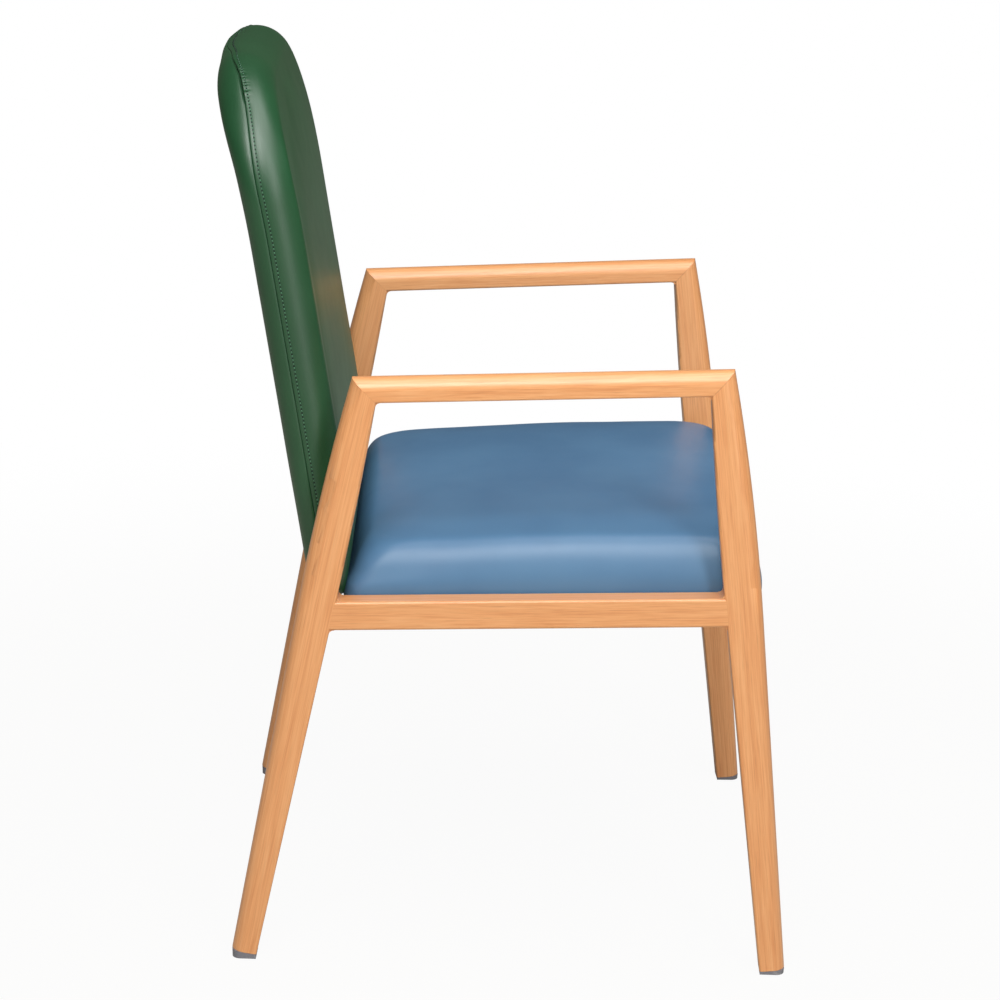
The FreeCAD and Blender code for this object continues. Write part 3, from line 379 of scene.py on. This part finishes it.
def roundedPlan(corners, radii, perSide):
    # points and outward directions, from the middle of each corner to the middle of the next
    bends = []
    for k, corner in enumerate(corners):
        here = np.array(corner, float)
        behind = np.array(corners[k - 1], float) - here
        ahead = np.array(corners[(k + 1) % len(corners)], float) - here
        behind /= np.linalg.norm(behind)
        ahead /= np.linalg.norm(ahead)
        half = math.acos(np.clip(behind @ ahead, -1, 1)) / 2
        inward = (behind + ahead) / np.linalg.norm(behind + ahead)
        centre = here + inward * radii[k] / math.sin(half)
        reach = radii[k] / math.tan(half)
        bends.append((centre, here + behind * reach, here + ahead * reach, -inward, radii[k]))
    points, outs = [], []
    shares = np.linspace(0, 1, 80)[:, None]     # fine steps, evened out below
    for k, (centre, _, leave, middle, radius) in enumerate(bends):
        nextCentre, arrive, _, nextMiddle, nextRadius = bends[(k + 1) % len(bends)]
        first = (leave - centre) / radius
        last = (arrive - nextCentre) / nextRadius
        turnOut = middle * (1 - shares) + first * shares
        turnIn = last * (1 - shares) + nextMiddle * shares
        turnOut /= np.linalg.norm(turnOut, axis=1, keepdims=True)
        turnIn /= np.linalg.norm(turnIn, axis=1, keepdims=True)
        path = np.vstack([centre + radius * turnOut, leave * (1 - shares) + arrive * shares,
                          nextCentre + nextRadius * turnIn])
        ways = np.vstack([turnOut, first * (1 - shares) + last * shares, turnIn])
        run = np.r_[0, np.cumsum(np.linalg.norm(np.diff(path, axis=0), axis=1))]
        stops = np.linspace(0, run[-1], perSide + 1)[:-1]
        points.append(np.column_stack([np.interp(stops, run, path[:, i]) for i in (0, 1)]))
        out = np.column_stack([np.interp(stops, run, ways[:, i]) for i in (0, 1)])
        outs.append(out / np.linalg.norm(out, axis=1, keepdims=True))
    return np.vstack(points), np.vstack(outs)


def capGrid(ring, perSide):
    # an even patch of points inside a closed ring of four sides
    n = perSide
    low, right = ring[:n + 1], ring[n:2 * n + 1]
    high = ring[2 * n:3 * n + 1][::-1]
    left = np.vstack([ring[3 * n:], ring[:1]])[::-1]
    u = np.linspace(0, 1, n + 1)[:, None, None]
    v = np.linspace(0, 1, n + 1)[None, :, None]
    edges = ((1 - v) * low[:, None] + v * high[:, None]
             + (1 - u) * left[None, :] + u * right[None, :])
    corners = ((1 - u) * (1 - v) * low[0] + u * (1 - v) * low[-1]
               + (1 - u) * v * high[0] + u * v * high[-1])
    return edges - corners


def softForm(rings, perSide):
    # joins rings of (x, y, depth) points and closes both ends; returns points and faces
    around = 4 * perSide
    points = [np.vstack(rings)]
    faces = []
    for level in range(len(rings) - 1):
        start, above = level * around, (level + 1) * around
        for k in range(around):
            after = (k + 1) % around
            faces.append((start + k, start + after, above + after, above + k))
    total = len(rings) * around
    n = perSide
    for level, flip in ((0, True), (len(rings) - 1, False)):
        grid = capGrid(rings[level], n)
        index = np.zeros((n + 1, n + 1), int)
        first = level * around
        index[:, 0] = first + np.arange(n + 1)
        index[n, :] = first + n + np.arange(n + 1)
        index[::-1, n] = first + 2 * n + np.arange(n + 1)
        index[0, ::-1] = first + (3 * n + np.arange(n + 1)) % around
        inner = np.arange((n - 1) ** 2).reshape(n - 1, n - 1) + total
        index[1:n, 1:n] = inner
        points.append(grid[1:n, 1:n].reshape(-1, 3))
        total += (n - 1) ** 2
        for i in range(n):
            for j in range(n):
                quad = (index[i, j], index[i + 1, j], index[i + 1, j + 1], index[i, j + 1])
                faces.append(quad[::-1] if flip else quad)
    return np.vstack(points), faces


def meshObject(name, points, faces, finish):
    # points in millimetres
    mesh = bpy.data.meshes.new(name)
    mesh.from_pydata((points * 0.001).tolist(), [], [tuple(int(i) for i in f) for f in faces])
    work = bmesh.new()
    work.from_mesh(mesh)
    bmesh.ops.recalc_face_normals(work, faces=work.faces)
    work.to_mesh(mesh)
    work.free()
    mesh.polygons.foreach_set("use_smooth", [True] * len(mesh.polygons))
    mesh.materials.append(finish)
    return addObject(name, mesh)


def readPoints(mesh):
    flat = np.zeros(len(mesh.vertices) * 3)
    mesh.vertices.foreach_get("co", flat)
    return flat.reshape(-1, 3)


def writePoints(mesh, points):
    mesh.vertices.foreach_set("co", points.ravel())
    mesh.update()


def evenOut(mesh, moved, held, rounds):
    # each point's movement drawn towards its neighbours', so that no small ridge is left
    edges = np.zeros(len(mesh.edges) * 2, int)
    mesh.edges.foreach_get("vertices", edges)
    first, second = edges.reshape(-1, 2).T
    count = np.bincount(edges, minlength=len(moved))[:, None]
    for _ in range(rounds):
        near = np.zeros_like(moved)
        np.add.at(near, first, moved[second])
        np.add.at(near, second, moved[first])
        moved = (moved + near / count) / 2
        moved[held] = 0
    return moved


coverCloth = {"quality": 6, "mass": 0.4, "tension_stiffness": 30, "compression_stiffness": 30,
              "shear_stiffness": 20, "bending_stiffness": 4, "use_pressure": True}
coverRun = {"frames": 20, "evenRounds": 30}


def swell(piece, held, pressure, cap, firm=0.0):
    # the cover under the filling's pressure; held points stay where they are, and firm is how
    # far corners that the cover draws in keep their fullness
    rest = readPoints(piece.data)
    piece.vertex_groups.new(name="held").add([int(i) for i in held], 1.0, "REPLACE")
    cloth = piece.modifiers.new("cover", "CLOTH")
    for key, setting in coverCloth.items():
        setattr(cloth.settings, key, setting)
    cloth.settings.vertex_group_mass = "held"
    cloth.settings.uniform_pressure_force = pressure
    cloth.settings.effector_weights.gravity = 0
    cloth.collision_settings.use_collision = False
    cloth.point_cache.frame_start = 1
    cloth.point_cache.frame_end = coverRun["frames"]
    for number in range(coverRun["frames"]):
        scene.frame_set(number + 1)
    moved = readPoints(evaluated(piece).data) - rest
    piece.modifiers.remove(cloth)
    piece.vertex_groups.clear()
    scene.frame_set(1)
    length = np.linalg.norm(moved, axis=1, keepdims=True)
    print(f"  {piece.name} swells by up to {1000 * length.max():.1f} mm, "
          f"capped at {1000 * cap:.1f}")
    moved = evenOut(piece.data, moved * cap / (cap + length), held, coverRun["evenRounds"])
    outward = np.zeros(len(rest) * 3)
    piece.data.vertex_normals.foreach_get("vector", outward)
    outward = outward.reshape(-1, 3)
    sunk = np.minimum((moved * outward).sum(axis=1, keepdims=True), 0)
    writePoints(piece.data, rest + moved - firm * sunk * outward)


def subdivide(piece):
    rounder = piece.modifiers.new("round", "SUBSURF")
    rounder.levels = rounder.render_levels = 1
    mesh = bpy.data.meshes.new_from_object(evaluated(piece))
    piece.modifiers.remove(rounder)
    old = piece.data
    piece.data = mesh
    bpy.data.meshes.remove(old)
    mesh.name = piece.name


def smoothStep(values, low, high):
    share = np.clip((values - low) / (high - low), 0, 1)
    return share * share * (3 - 2 * share)


def hill(values, start, full, fade, end):
    # rises from start to full and falls from fade to end
    return smoothStep(values, start, full) * (1 - smoothStep(values, fade, end))


# seat cushion, in the seat's own tilted frame

seat = {
    "origin": (0.26, 399.2), "tilt": 2.33,
    "front": -270.0, "rear": 170.2, "frontHalf": 255.0, "rearHalf": 243.3,
    "rearLean": 7.5, "rearShoulder": 0.8,                  # degrees, and a share of the shoulder
    "corner": 24.0, "cornerOpens": 0.6, "drawIn": 2.0,
    "bow": 5.0, "bowTo": 0.6,                              # the bow ends at this share of the depth
    "height": 74.0, "crownRadius": 4000.0, "crownY": -100.0,
    "crownFrom": (8.0, 50.0),                              # heights between which the crown comes in
    "sideLean": 1.5, "shoulder": 29.0, "shoulderSteps": 14, "fullness": 2.4, "straight": 9.0,
    "perSide": 60, "pressure": 3.0, "swellCap": 0.004, "heldUnder": 20.0,
}
# under the board: recess, wrapped edge and its fold, as inset and height
seatWrap = ((4.6, 14.1), (3.9, 13.4), (3.9, 2.4), (4.6, 1.8), (16.6, 1.8), (17.2, 1.2),
            (16.6, 0.6), (5.0, 0.6), (1.6, 1.4), (0.3, 3.8))


def seatRing(inset, height, corner, leaning=False):
    front, rear = seat["front"] + inset, seat["rear"] - inset
    if leaning:
        lean = math.tan(math.radians(seat["rearLean"]))
        rear = seat["rear"] - inset * seat["rearShoulder"] - height * lean
    frontHalf, rearHalf = seat["frontHalf"] - inset, seat["rearHalf"] - inset
    plan, _ = roundedPlan([(-frontHalf, front), (frontHalf, front), (rearHalf, rear),
                           (-rearHalf, rear)], [corner] * 4, seat["perSide"])
    return np.column_stack([plan, np.full(len(plan), height)])


def seatRings():
    # the sides lean in and turn over a soft shoulder whose corners open towards the top
    rings = [seatRing(inset, height, seat["corner"] - inset) for inset, height in seatWrap]
    tall = seat["height"] - seat["straight"]
    for step in range(seat["shoulderSteps"] + 1):
        angle = math.radians(90 * step / seat["shoulderSteps"])
        rise = math.sin(angle) ** (2 / seat["fullness"])
        turn = 1 - max(math.cos(angle), 0.0) ** (2 / seat["fullness"])
        inset = seat["shoulder"] * turn + seat["sideLean"] * rise
        rings.append(seatRing(inset, seat["straight"] + tall * rise,
                              seat["corner"] + seat["cornerOpens"] * inset, leaning=True))
    return rings


def seatToWorld(points):
    # bows the front, draws in the sides, crowns the top and tilts the whole
    x, y, z = points.T
    span = (y - seat["front"]) / (seat["rear"] - seat["front"])
    narrow = seat["drawIn"] * 4 * span * (1 - span)
    x = x * (1 - np.clip(narrow, 0, None) / seat["rearHalf"])
    bowed = seat["bow"] * (1 - (x / seat["frontHalf"]) ** 2)
    y = y - bowed * smoothStep(span, seat["bowTo"], 0.0)
    drop = (x ** 2 + (y - seat["crownY"]) ** 2) / (2 * seat["crownRadius"])
    z = z - drop * smoothStep(z, *seat["crownFrom"])
    tilt = math.radians(-seat["tilt"])
    return np.column_stack([x, seat["origin"][0] + y * math.cos(tilt) - z * math.sin(tilt),
                            seat["origin"][1] + y * math.sin(tilt) + z * math.cos(tilt)])


seatFlat, seatFaces = softForm(seatRings(), seat["perSide"])
seatCushion = meshObject("seatCushion", seatToWorld(seatFlat), seatFaces,
                         vinylFinish("seatVinyl", seatVinyl))
wrapped = np.arange(len(seatFlat)) < 4 * seat["perSide"] * (len(seatWrap) + 1)
seatHeld = np.flatnonzero(wrapped | (seatFlat[:, 2] < seat["heldUnder"]))
swell(seatCushion, seatHeld, seat["pressure"], seat["swellCap"])
subdivide(seatCushion)
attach(seatCushion, "root")
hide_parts("seat_cover", "seat_foam")
print("seat cushion made:", len(seatCushion.data.polygons), "faces")


# lining under the seat

lining = {"inset": 9.0, "above": 0.3, "sag": 2.5, "weave": 700.0,
          "colour": paint(36, 36, 38), "thread": paint(58, 58, 60)}


def liningFinish():
    material, tree = newFinish("liningCloth")
    _, (x, y, _) = place(tree)

    def thread(value):
        return tree.math("SINE", value * lining["weave"] * 2 * math.pi) * 0.5 + 0.5

    weave = thread(x) * thread(y)
    closeFinish(tree, {"Base Color": weave.mix(lining["colour"], lining["thread"]),
                       "Roughness": 0.9, "Normal": bump(tree, weave, 0.3, 0.0003)})
    return material


def makeLining():
    n = seat["perSide"]
    grid = capGrid(seatRing(lining["inset"], 0.0, seat["corner"] - lining["inset"]), n)
    u = np.linspace(0, 1, n + 1)
    belly = np.outer(np.sin(np.pi * u), np.sin(np.pi * u)) ** 2
    grid[:, :, 2] = lining["above"] - lining["sag"] * belly
    flat = grid.reshape(-1, 3)
    index = np.arange((n + 1) ** 2).reshape(n + 1, n + 1)
    faces = [(index[i, j], index[i, j + 1], index[i + 1, j + 1], index[i + 1, j])
             for i in range(n) for j in range(n)]
    return meshObject("seatLining", seatToWorld(flat), faces, liningFinish())


seatLining = makeLining()
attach(seatLining, "root")
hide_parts("seat_lining")
print("lining made")


# back cushions, in the back's own leaning frame; depth is rearwards from the seam

back = {
    # names in Up are heights between which a form comes in, and in Turn the edge's turn in degrees
    "origin": (233.96, 685.0), "lean": 10.0,
    "half": 229.5, "bottom": -297.0, "top": 269.0, "drawIn": 1.5,
    "topCorner": 130.0, "lowCorner": 30.0, "tailCorner": 12.0,
    "arch": 12.0, "archUp": (0.0, 200.0),
    "bend": 80.0, "bendRadius": 1170.0, "crownRadius": 12000.0,
    "frontDepth": 36.5, "frontRound": 27.6, "frontRim": 3.0,
    "bandTurn": (42.0, 64.0), "overTurn": (10.0, 75.0),      # at the sides and over the top
    "rearDepth": 21.2, "rearRound": 18.5, "rearRim": 4.5,
    "rearDrop": 4.0, "rearDropUp": (190.0, 262.0),
    "rearFuller": 2.6, "rearFullerUp": (160.0, 225.0, 240.0, 266.0),
    "tailDepth": 16.5, "tailFuller": 1.5, "tail": (-290.0, -228.4), "tailHeld": 30.0,
    "seamAt": 1.5, "seamDip": -7.0, "dipTurn": (5.0, 52.0, 60.0, 88.0),
    "seamRise": 10.0, "riseAcross": (112.0, 25.0), "riseUp": (150.0, 230.0),
    "perSide": 60, "pressure": 2.5, "swellCap": 0.003, "firm": 0.9,
}
# how each cover comes out of the hollow round the board and turns at the seam, as inset and depth
frontFold = ((16.6, -12.3), (15.8, -11.6), (15.8, -0.9), (15.0, -0.2), (1.6, -0.05), (0.5, -0.1),
             (0.12, -0.4), (0.0, -1.6), (0.0, -3.7), (0.35, -4.9), (0.0, -6.3))
rearFold = ((16.6, 12.7), (15.8, 12.0), (15.8, 0.9), (15.0, 0.2), (1.5, 0.05), (0.8, 0.14),
            (0.4, 0.95))
outerFrom = 3      # rings before this one line the hollow
stitchRing = 9     # ring of the front cover that carries the topstitch


def frontProfile(bandTurn):
    # a slow curve over the band, then a tighter one into the front face; bandTurn is how far the
    # band has turned, in degrees, where the tighter one begins
    steps = list(frontFold)
    start = math.radians(bandTurn)
    slow = back["frontRound"] / math.sin(start)
    inset, depth = steps[-1]
    for angle in np.linspace(0, start, 8)[1:]:
        steps.append((inset + slow * (1 - math.cos(angle)), depth - slow * math.sin(angle)))
    inset, depth = steps[-1]
    tight = (back["frontDepth"] + depth) / (1 - math.sin(start))
    for angle in np.linspace(start, math.pi / 2, 6)[1:]:
        steps.append((inset + tight * (math.cos(start) - math.cos(angle)),
                      depth - tight * (math.sin(angle) - math.sin(start))))
    steps.append((steps[-1][0] + back["frontRim"], -back["frontDepth"]))
    return steps


def rearProfile():
    turn, deep = back["rearRound"], back["rearDepth"]
    steps = list(rearFold)
    for angle in np.linspace(0, math.pi / 2, 9):
        steps.append((turn * (1 - math.cos(angle)), deep - turn + turn * math.sin(angle)))
    steps.append((turn + back["rearRim"], deep))
    return steps


def cornerHalf(q, radius):
    # half the width at this height where the low corners have this radius
    below = np.clip(back["bottom"] + radius - q, 0, radius)
    return back["half"] - radius + np.sqrt(radius ** 2 - below ** 2)


def wanderSeam(points, outer, turned):
    # the seam dips forward round each top corner, where the rear cover is fuller too, and runs
    # further back over the top; turned is how far the edge has turned from upright, in degrees
    x, q, depth = points.T
    dip = hill(turned, *back["dipTurn"])
    rise = smoothStep(np.abs(x), *back["riseAcross"]) * smoothStep(q, *back["riseUp"])
    seam = back["seamAt"] + back["seamDip"] * dip + back["seamRise"] * rise
    puff = back["rearFuller"] * hill(q, *back["rearFullerUp"])
    front = seam + depth * (1 + seam / back["frontDepth"])
    rear = seam + depth * (back["rearDepth"] + puff - seam) / back["rearDepth"]
    points[:, 2] = np.where(outer, np.where(depth < 0, front, rear), depth)
    return points


def backToWorld(points):
    # squares the tail's corners, arches the top, thins the tail, then bends and leans the whole
    x, q, d = points.T
    x = x * cornerHalf(q, back["tailCorner"]) / cornerHalf(q, back["lowCorner"])
    span = (q - back["bottom"]) / (back["top"] - back["bottom"])
    x = x * (1 - back["drawIn"] * np.clip(4 * span * (1 - span), 0, 1) / back["half"])
    q = q - back["arch"] * (x / back["half"]) ** 2 * smoothStep(q, *back["archUp"])
    rearShare = np.clip(d / back["rearDepth"], 0, 1)
    q = q - back["rearDrop"] * rearShare * smoothStep(q, *back["rearDropUp"])
    low, high = back["tail"]
    share = np.clip((q - low) / (high - low), 0, 1)
    thin = (back["tailDepth"] + (back["frontDepth"] - back["tailDepth"]) * share
            + back["tailFuller"] * np.sin(np.pi * share))
    d = np.maximum(d, -thin)
    d = d + x ** 2 / (2 * back["crownRadius"]) * np.clip(-d / back["frontDepth"], 0, 1)
    rise = np.maximum(q - back["bend"], 0)
    y = back["bendRadius"] - np.sqrt((back["bendRadius"] - d) ** 2 - rise ** 2)
    lean = math.radians(back["lean"])
    return np.column_stack([x, back["origin"][0] + y * math.cos(lean) + q * math.sin(lean),
                            back["origin"][1] - y * math.sin(lean) + q * math.cos(lean)])


backFinish = vinylFinish("backVinyl", backVinyl, seamed=True)
backPlan, backOuts = roundedPlan(
    [(-back["half"], back["bottom"]), (back["half"], back["bottom"]),
     (back["half"], back["top"]), (-back["half"], back["top"])],
    [back["lowCorner"]] * 2 + [back["topCorner"]] * 2, back["perSide"])


def backCushion(name, sideProfile, topProfile, heldRings):
    # the profile goes round the plan, and passes from the sides' to the top's as the edge turns
    around = len(backPlan)
    turns = np.degrees(np.arctan2(backOuts[:, 1], np.abs(backOuts[:, 0])))
    over = smoothStep(turns, *back["overTurn"])[:, None]
    rings = []
    for sideStep, topStep in zip(sideProfile, topProfile):
        inset, depth = ((1 - over) * sideStep + over * topStep).T
        rings.append(np.column_stack([backPlan - backOuts * inset[:, None], depth]))
    flat, faces = softForm(rings, back["perSide"])
    index = np.arange(len(flat))
    ringPoints = len(rings) * around
    innerCap = (index >= ringPoints) & (index < ringPoints + (back["perSide"] - 1) ** 2)
    outer = (index >= outerFrom * around) & ~innerCap
    away = np.where(outer & (flat[:, 2] < 1.5), np.abs(flat[:, 2]), 99.0)     # from the seam, in mm
    run, turned = np.zeros(len(flat)), np.zeros(len(flat))
    steps = np.linalg.norm(backPlan - np.roll(backPlan, 1, axis=0), axis=1)
    run[:ringPoints] = np.tile(np.cumsum(steps), len(rings))
    turned[:ringPoints] = np.tile(turns, len(rings))
    made = meshObject(name, backToWorld(wanderSeam(flat, outer, turned)), faces, backFinish)
    for label, values in (("seamRun", run), ("seamAway", away)):
        made.data.attributes.new(label, "FLOAT", "POINT").data.foreach_set("value", values)
    tail = flat[:, 1] < back["tail"][1] + back["tailHeld"]
    held = np.flatnonzero((index < heldRings * around) | innerCap | tail)
    swell(made, held, back["pressure"], back["swellCap"], back["firm"])
    subdivide(made)
    return made


sideTurn, topTurn = back["bandTurn"]
backFront = backCushion("backFrontCushion", frontProfile(sideTurn), frontProfile(topTurn),
                        len(frontFold))
backRear = backCushion("backRearCushion", rearProfile(), rearProfile(), len(rearFold))
for cushion, cover, foam in ((backFront, "back_front_cover", "back_front_foam"),
                             (backRear, "back_rear_cover", "back_rear_foam")):
    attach(cushion, "root")
    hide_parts(cover, foam)
    print(cushion.name, "made:", len(cushion.data.polygons), "faces")


# topstitch along the back's seam

topstitch = {"spacing": 4.2, "length": 2.3, "width": 1.3, "hole": 1.9,
             "thread": paint(58, 112, 80), "twist": paint(92, 142, 112),
             # shadow and rim are the colours of the painted shade in the needle holes
             "shadow": paint(10, 26, 17), "rim": paint(18, 44, 29)}


def threadFinish():
    material, tree = newFinish("topstitchThread")
    where, _ = place(tree)
    twist = noise(tree, where, 2400.0, 1.0)
    closeFinish(tree, {"Base Color": twist.mix(topstitch["thread"], topstitch["twist"]),
                       "Roughness": 0.55, "Normal": bump(tree, twist, 0.4, 0.0002)})
    return material


# painted shade: the needle holes are dark beads coloured as the shade inside them, a little lighter
# at the rim
def holeShadeFinish():
    material, tree = newFinish("needleHoleShade")
    where, _ = place(tree)
    rim = noise(tree, where, 1800.0, 1.0)
    closeFinish(tree, {"Base Color": rim.mix(topstitch["shadow"], topstitch["rim"]),
                       "Roughness": 0.8 + rim * 0.1})
    return material


def stitchTree():
    # stitches along a path, with a dark bead of painted shade for the needle hole between each two
    group = bpy.data.node_groups.new("topstitchRow", "GeometryNodeTree")
    sockets = {}
    for label, kind in (("Path", "Geometry"), ("Spacing", "Float"), ("Stitch Length", "Float"),
                        ("Thread Width", "Float"), ("Hole Width", "Float"),
                        ("Thread", "Material"), ("Hole", "Material")):
        made = group.interface.new_socket(label, in_out="INPUT", socket_type=f"NodeSocket{kind}")
        sockets[label] = made.identifier
    group.interface.new_socket("Row", in_out="OUTPUT", socket_type="NodeSocketGeometry")
    tree = Wire(group)
    given = tree.node("NodeGroupInput")
    spaced = tree.node("GeometryNodeResampleCurve", {"mode": "LENGTH"},
                       {"Curve": given.out("Path"), "Length": given.out("Spacing") * 0.5})
    odd = tree.math("MODULO", tree.node("GeometryNodeInputIndex"), 2.0)
    turn = tree.node("FunctionNodeAlignRotationToVector", {"axis": "Z"},
                     {"Vector": tree.node("GeometryNodeInputTangent")})
    bead = tree.node("GeometryNodeMeshUVSphere", None, {"Segments": 6, "Rings": 5, "Radius": 0.5})
    join = tree.node("GeometryNodeJoinGeometry")
    for chosen, width, length, finish in ((1.0 - odd, "Thread Width", "Stitch Length", "Thread"),
                                          (odd, "Hole Width", "Hole Width", "Hole")):
        size = tree.node("ShaderNodeCombineXYZ", None,
                         {"X": given.out(width), "Y": given.out(width), "Z": given.out(length)})
        spread = tree.node("GeometryNodeInstanceOnPoints", None,
                           {"Points": spaced, "Selection": chosen, "Instance": bead,
                            "Rotation": turn, "Scale": size})
        real = tree.node("GeometryNodeRealizeInstances", None, {"Geometry": spread})
        smooth = tree.node("GeometryNodeSetShadeSmooth", None, {"Geometry": real})
        coated = tree.node("GeometryNodeSetMaterial", None,
                           {"Geometry": smooth, "Material": given.out(finish)})
        group.links.new(coated.socket, join.socket.node.inputs["Geometry"])
    tree.node("NodeGroupOutput", None, {"Row": join})
    return group, sockets


def alongPath(name, points, tree, values):
    # runs the tree on a closed path and returns the result as a plain mesh object
    curve = bpy.data.curves.new(name, "CURVE")
    curve.dimensions = "3D"
    line = curve.splines.new("POLY")
    line.points.add(len(points) - 1)
    line.points.foreach_set("co", np.column_stack([points, np.ones(len(points))]).ravel())
    line.use_cyclic_u = True
    path = addObject(name + "Path", curve)
    modifier = path.modifiers.new("row", "NODES")
    modifier.node_group = tree
    for identifier, value in values.items():
        modifier[identifier] = value
    mesh = bpy.data.meshes.new_from_object(evaluated(path))
    mesh.name = name
    bpy.data.objects.remove(path)
    return addObject(name, mesh)


stitchNodes, stitchIn = stitchTree()
around = len(backPlan)     # subdividing keeps a ring's first points in their place
row = readPoints(backFront.data)[stitchRing * around:(stitchRing + 1) * around]
backStitches = alongPath("backTopstitch", row, stitchNodes, {
    stitchIn["Spacing"]: topstitch["spacing"] * 0.001,
    stitchIn["Stitch Length"]: topstitch["length"] * 0.001,
    stitchIn["Thread Width"]: topstitch["width"] * 0.001,
    stitchIn["Hole Width"]: topstitch["hole"] * 0.001,
    stitchIn["Thread"]: threadFinish(), stitchIn["Hole"]: holeShadeFinish()})
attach(backStitches, "root")
print("topstitch made:", len(backStitches.data.polygons), "faces")


# floor, light and camera

studio = {
    "floor": (0.50, 0.47, 0.41, 1.0), "floorHalf": 8.0,
    "floorGlow": (0.95, 1.0), "fade": (0.75, 1.9),      # near and far, and where it changes
    "ambient": 0.20, "mirrored": 0.07, "mirroredTint": (1.0, 0.90, 0.76, 1.0),
    # name: place, target, width, height, watts
    "lamps": {
        "key": ((-2.3, 0.4, 2.75), (0.0, 0.0, 0.5), 1.3, 1.4, 46.0),
        "top": ((-0.75, -0.35, 3.1), (0.0, 0.0, 0.5), 2.2, 2.2, 51.0),
        "front": ((-3.35, -1.6, 2.15), (-0.1, 0.1, 1.2), 0.75, 3.5, 53.0),
    },
}


def seenDirectly(tree):
    # 1 for the camera and through clear things, and a share of that in reflections
    rays = tree.node("ShaderNodeLightPath")
    camera, through, mirrored = (rays.out(f"Is {kind} Ray")
                                 for kind in ("Camera", "Transmission", "Glossy"))
    return camera.atLeast(through).atLeast(mirrored * studio["mirrored"])


def makeFloor():
    mesh = bpy.data.meshes.new("floor")
    half = studio["floorHalf"]
    corners = [(-half, -half, 0), (half, -half, 0), (half, half, 0), (-half, half, 0)]
    mesh.from_pydata(corners, [], [(0, 1, 2, 3)])
    material, tree = newFinish("paleFloor")
    matte = tree.node("ShaderNodeBsdfDiffuse", None, {"Color": studio["floor"]})
    glow = tree.node("ShaderNodeEmission", None, {"Color": (1, 1, 1, 1), "Strength": 1.0})
    _, (x, y, _) = place(tree)
    away = tree.math("SQRT", x * x + y * y).ramp(*studio["fade"])   # white away from the chair
    near, far = studio["floorGlow"]
    shader = tree.node("ShaderNodeMixShader", None,
                       {0: seenDirectly(tree) * (away * (far - near) + near), 1: matte, 2: glow})
    tree.node("ShaderNodeOutputMaterial", None, {"Surface": shader})
    mesh.materials.append(material)
    addObject("floor", mesh)


def makeWorld():
    world = bpy.data.worlds.new("studio")
    scene.world = world
    world.use_nodes = True
    world.node_tree.nodes.clear()
    tree = Wire(world.node_tree)
    mirrored = tree.node("ShaderNodeLightPath").out("Is Glossy Ray")
    strength = seenDirectly(tree).atLeast((1.0 - mirrored) * studio["ambient"])
    colour = mirrored.mix((1, 1, 1, 1), studio["mirroredTint"])
    light = tree.node("ShaderNodeBackground", None, {"Color": colour, "Strength": strength})
    tree.node("ShaderNodeOutputWorld", None, {"Surface": light})


def makeLamps():
    for name, (spot, target, width, height, watts) in studio["lamps"].items():
        lamp = bpy.data.lights.new(name, "AREA")
        lamp.shape = "RECTANGLE"
        lamp.size = width
        lamp.size_y = height
        lamp.energy = watts
        made = addObject(name, lamp)
        made.location = spot
        way = Vector(target) - Vector(spot)
        made.rotation_euler = way.to_track_quat("-Z", "Y").to_euler()


shot = {"place": (-3.2165, 0.0766, 1.4057), "yaw": -1.3155, "pitch": 16.755, "roll": 1.684,
        "lens": 108.0, "sensor": 36.0}


def makeCamera():
    yaw, pitch, roll = (math.radians(shot[key]) for key in ("yaw", "pitch", "roll"))
    ahead = Vector((math.cos(pitch) * math.cos(yaw), math.cos(pitch) * math.sin(yaw),
                    -math.sin(pitch)))
    right = ahead.cross(Vector((0, 0, 1))).normalized()
    up = right.cross(ahead)
    turnedRight = math.cos(roll) * right + math.sin(roll) * up
    turnedUp = math.cos(roll) * up - math.sin(roll) * right
    camera = bpy.data.cameras.new("shot")
    camera.lens = shot["lens"]
    camera.sensor_width = shot["sensor"]
    camera.sensor_fit = "HORIZONTAL"
    made = addObject("shot", camera)
    axes = Matrix((turnedRight, turnedUp, -ahead)).transposed()
    made.matrix_world = Matrix.Translation(shot["place"]) @ axes.to_4x4()
    scene.camera = made


makeFloor()
makeWorld()
makeLamps()
makeCamera()
scene.view_settings.view_transform = "Standard"

print("studio set")
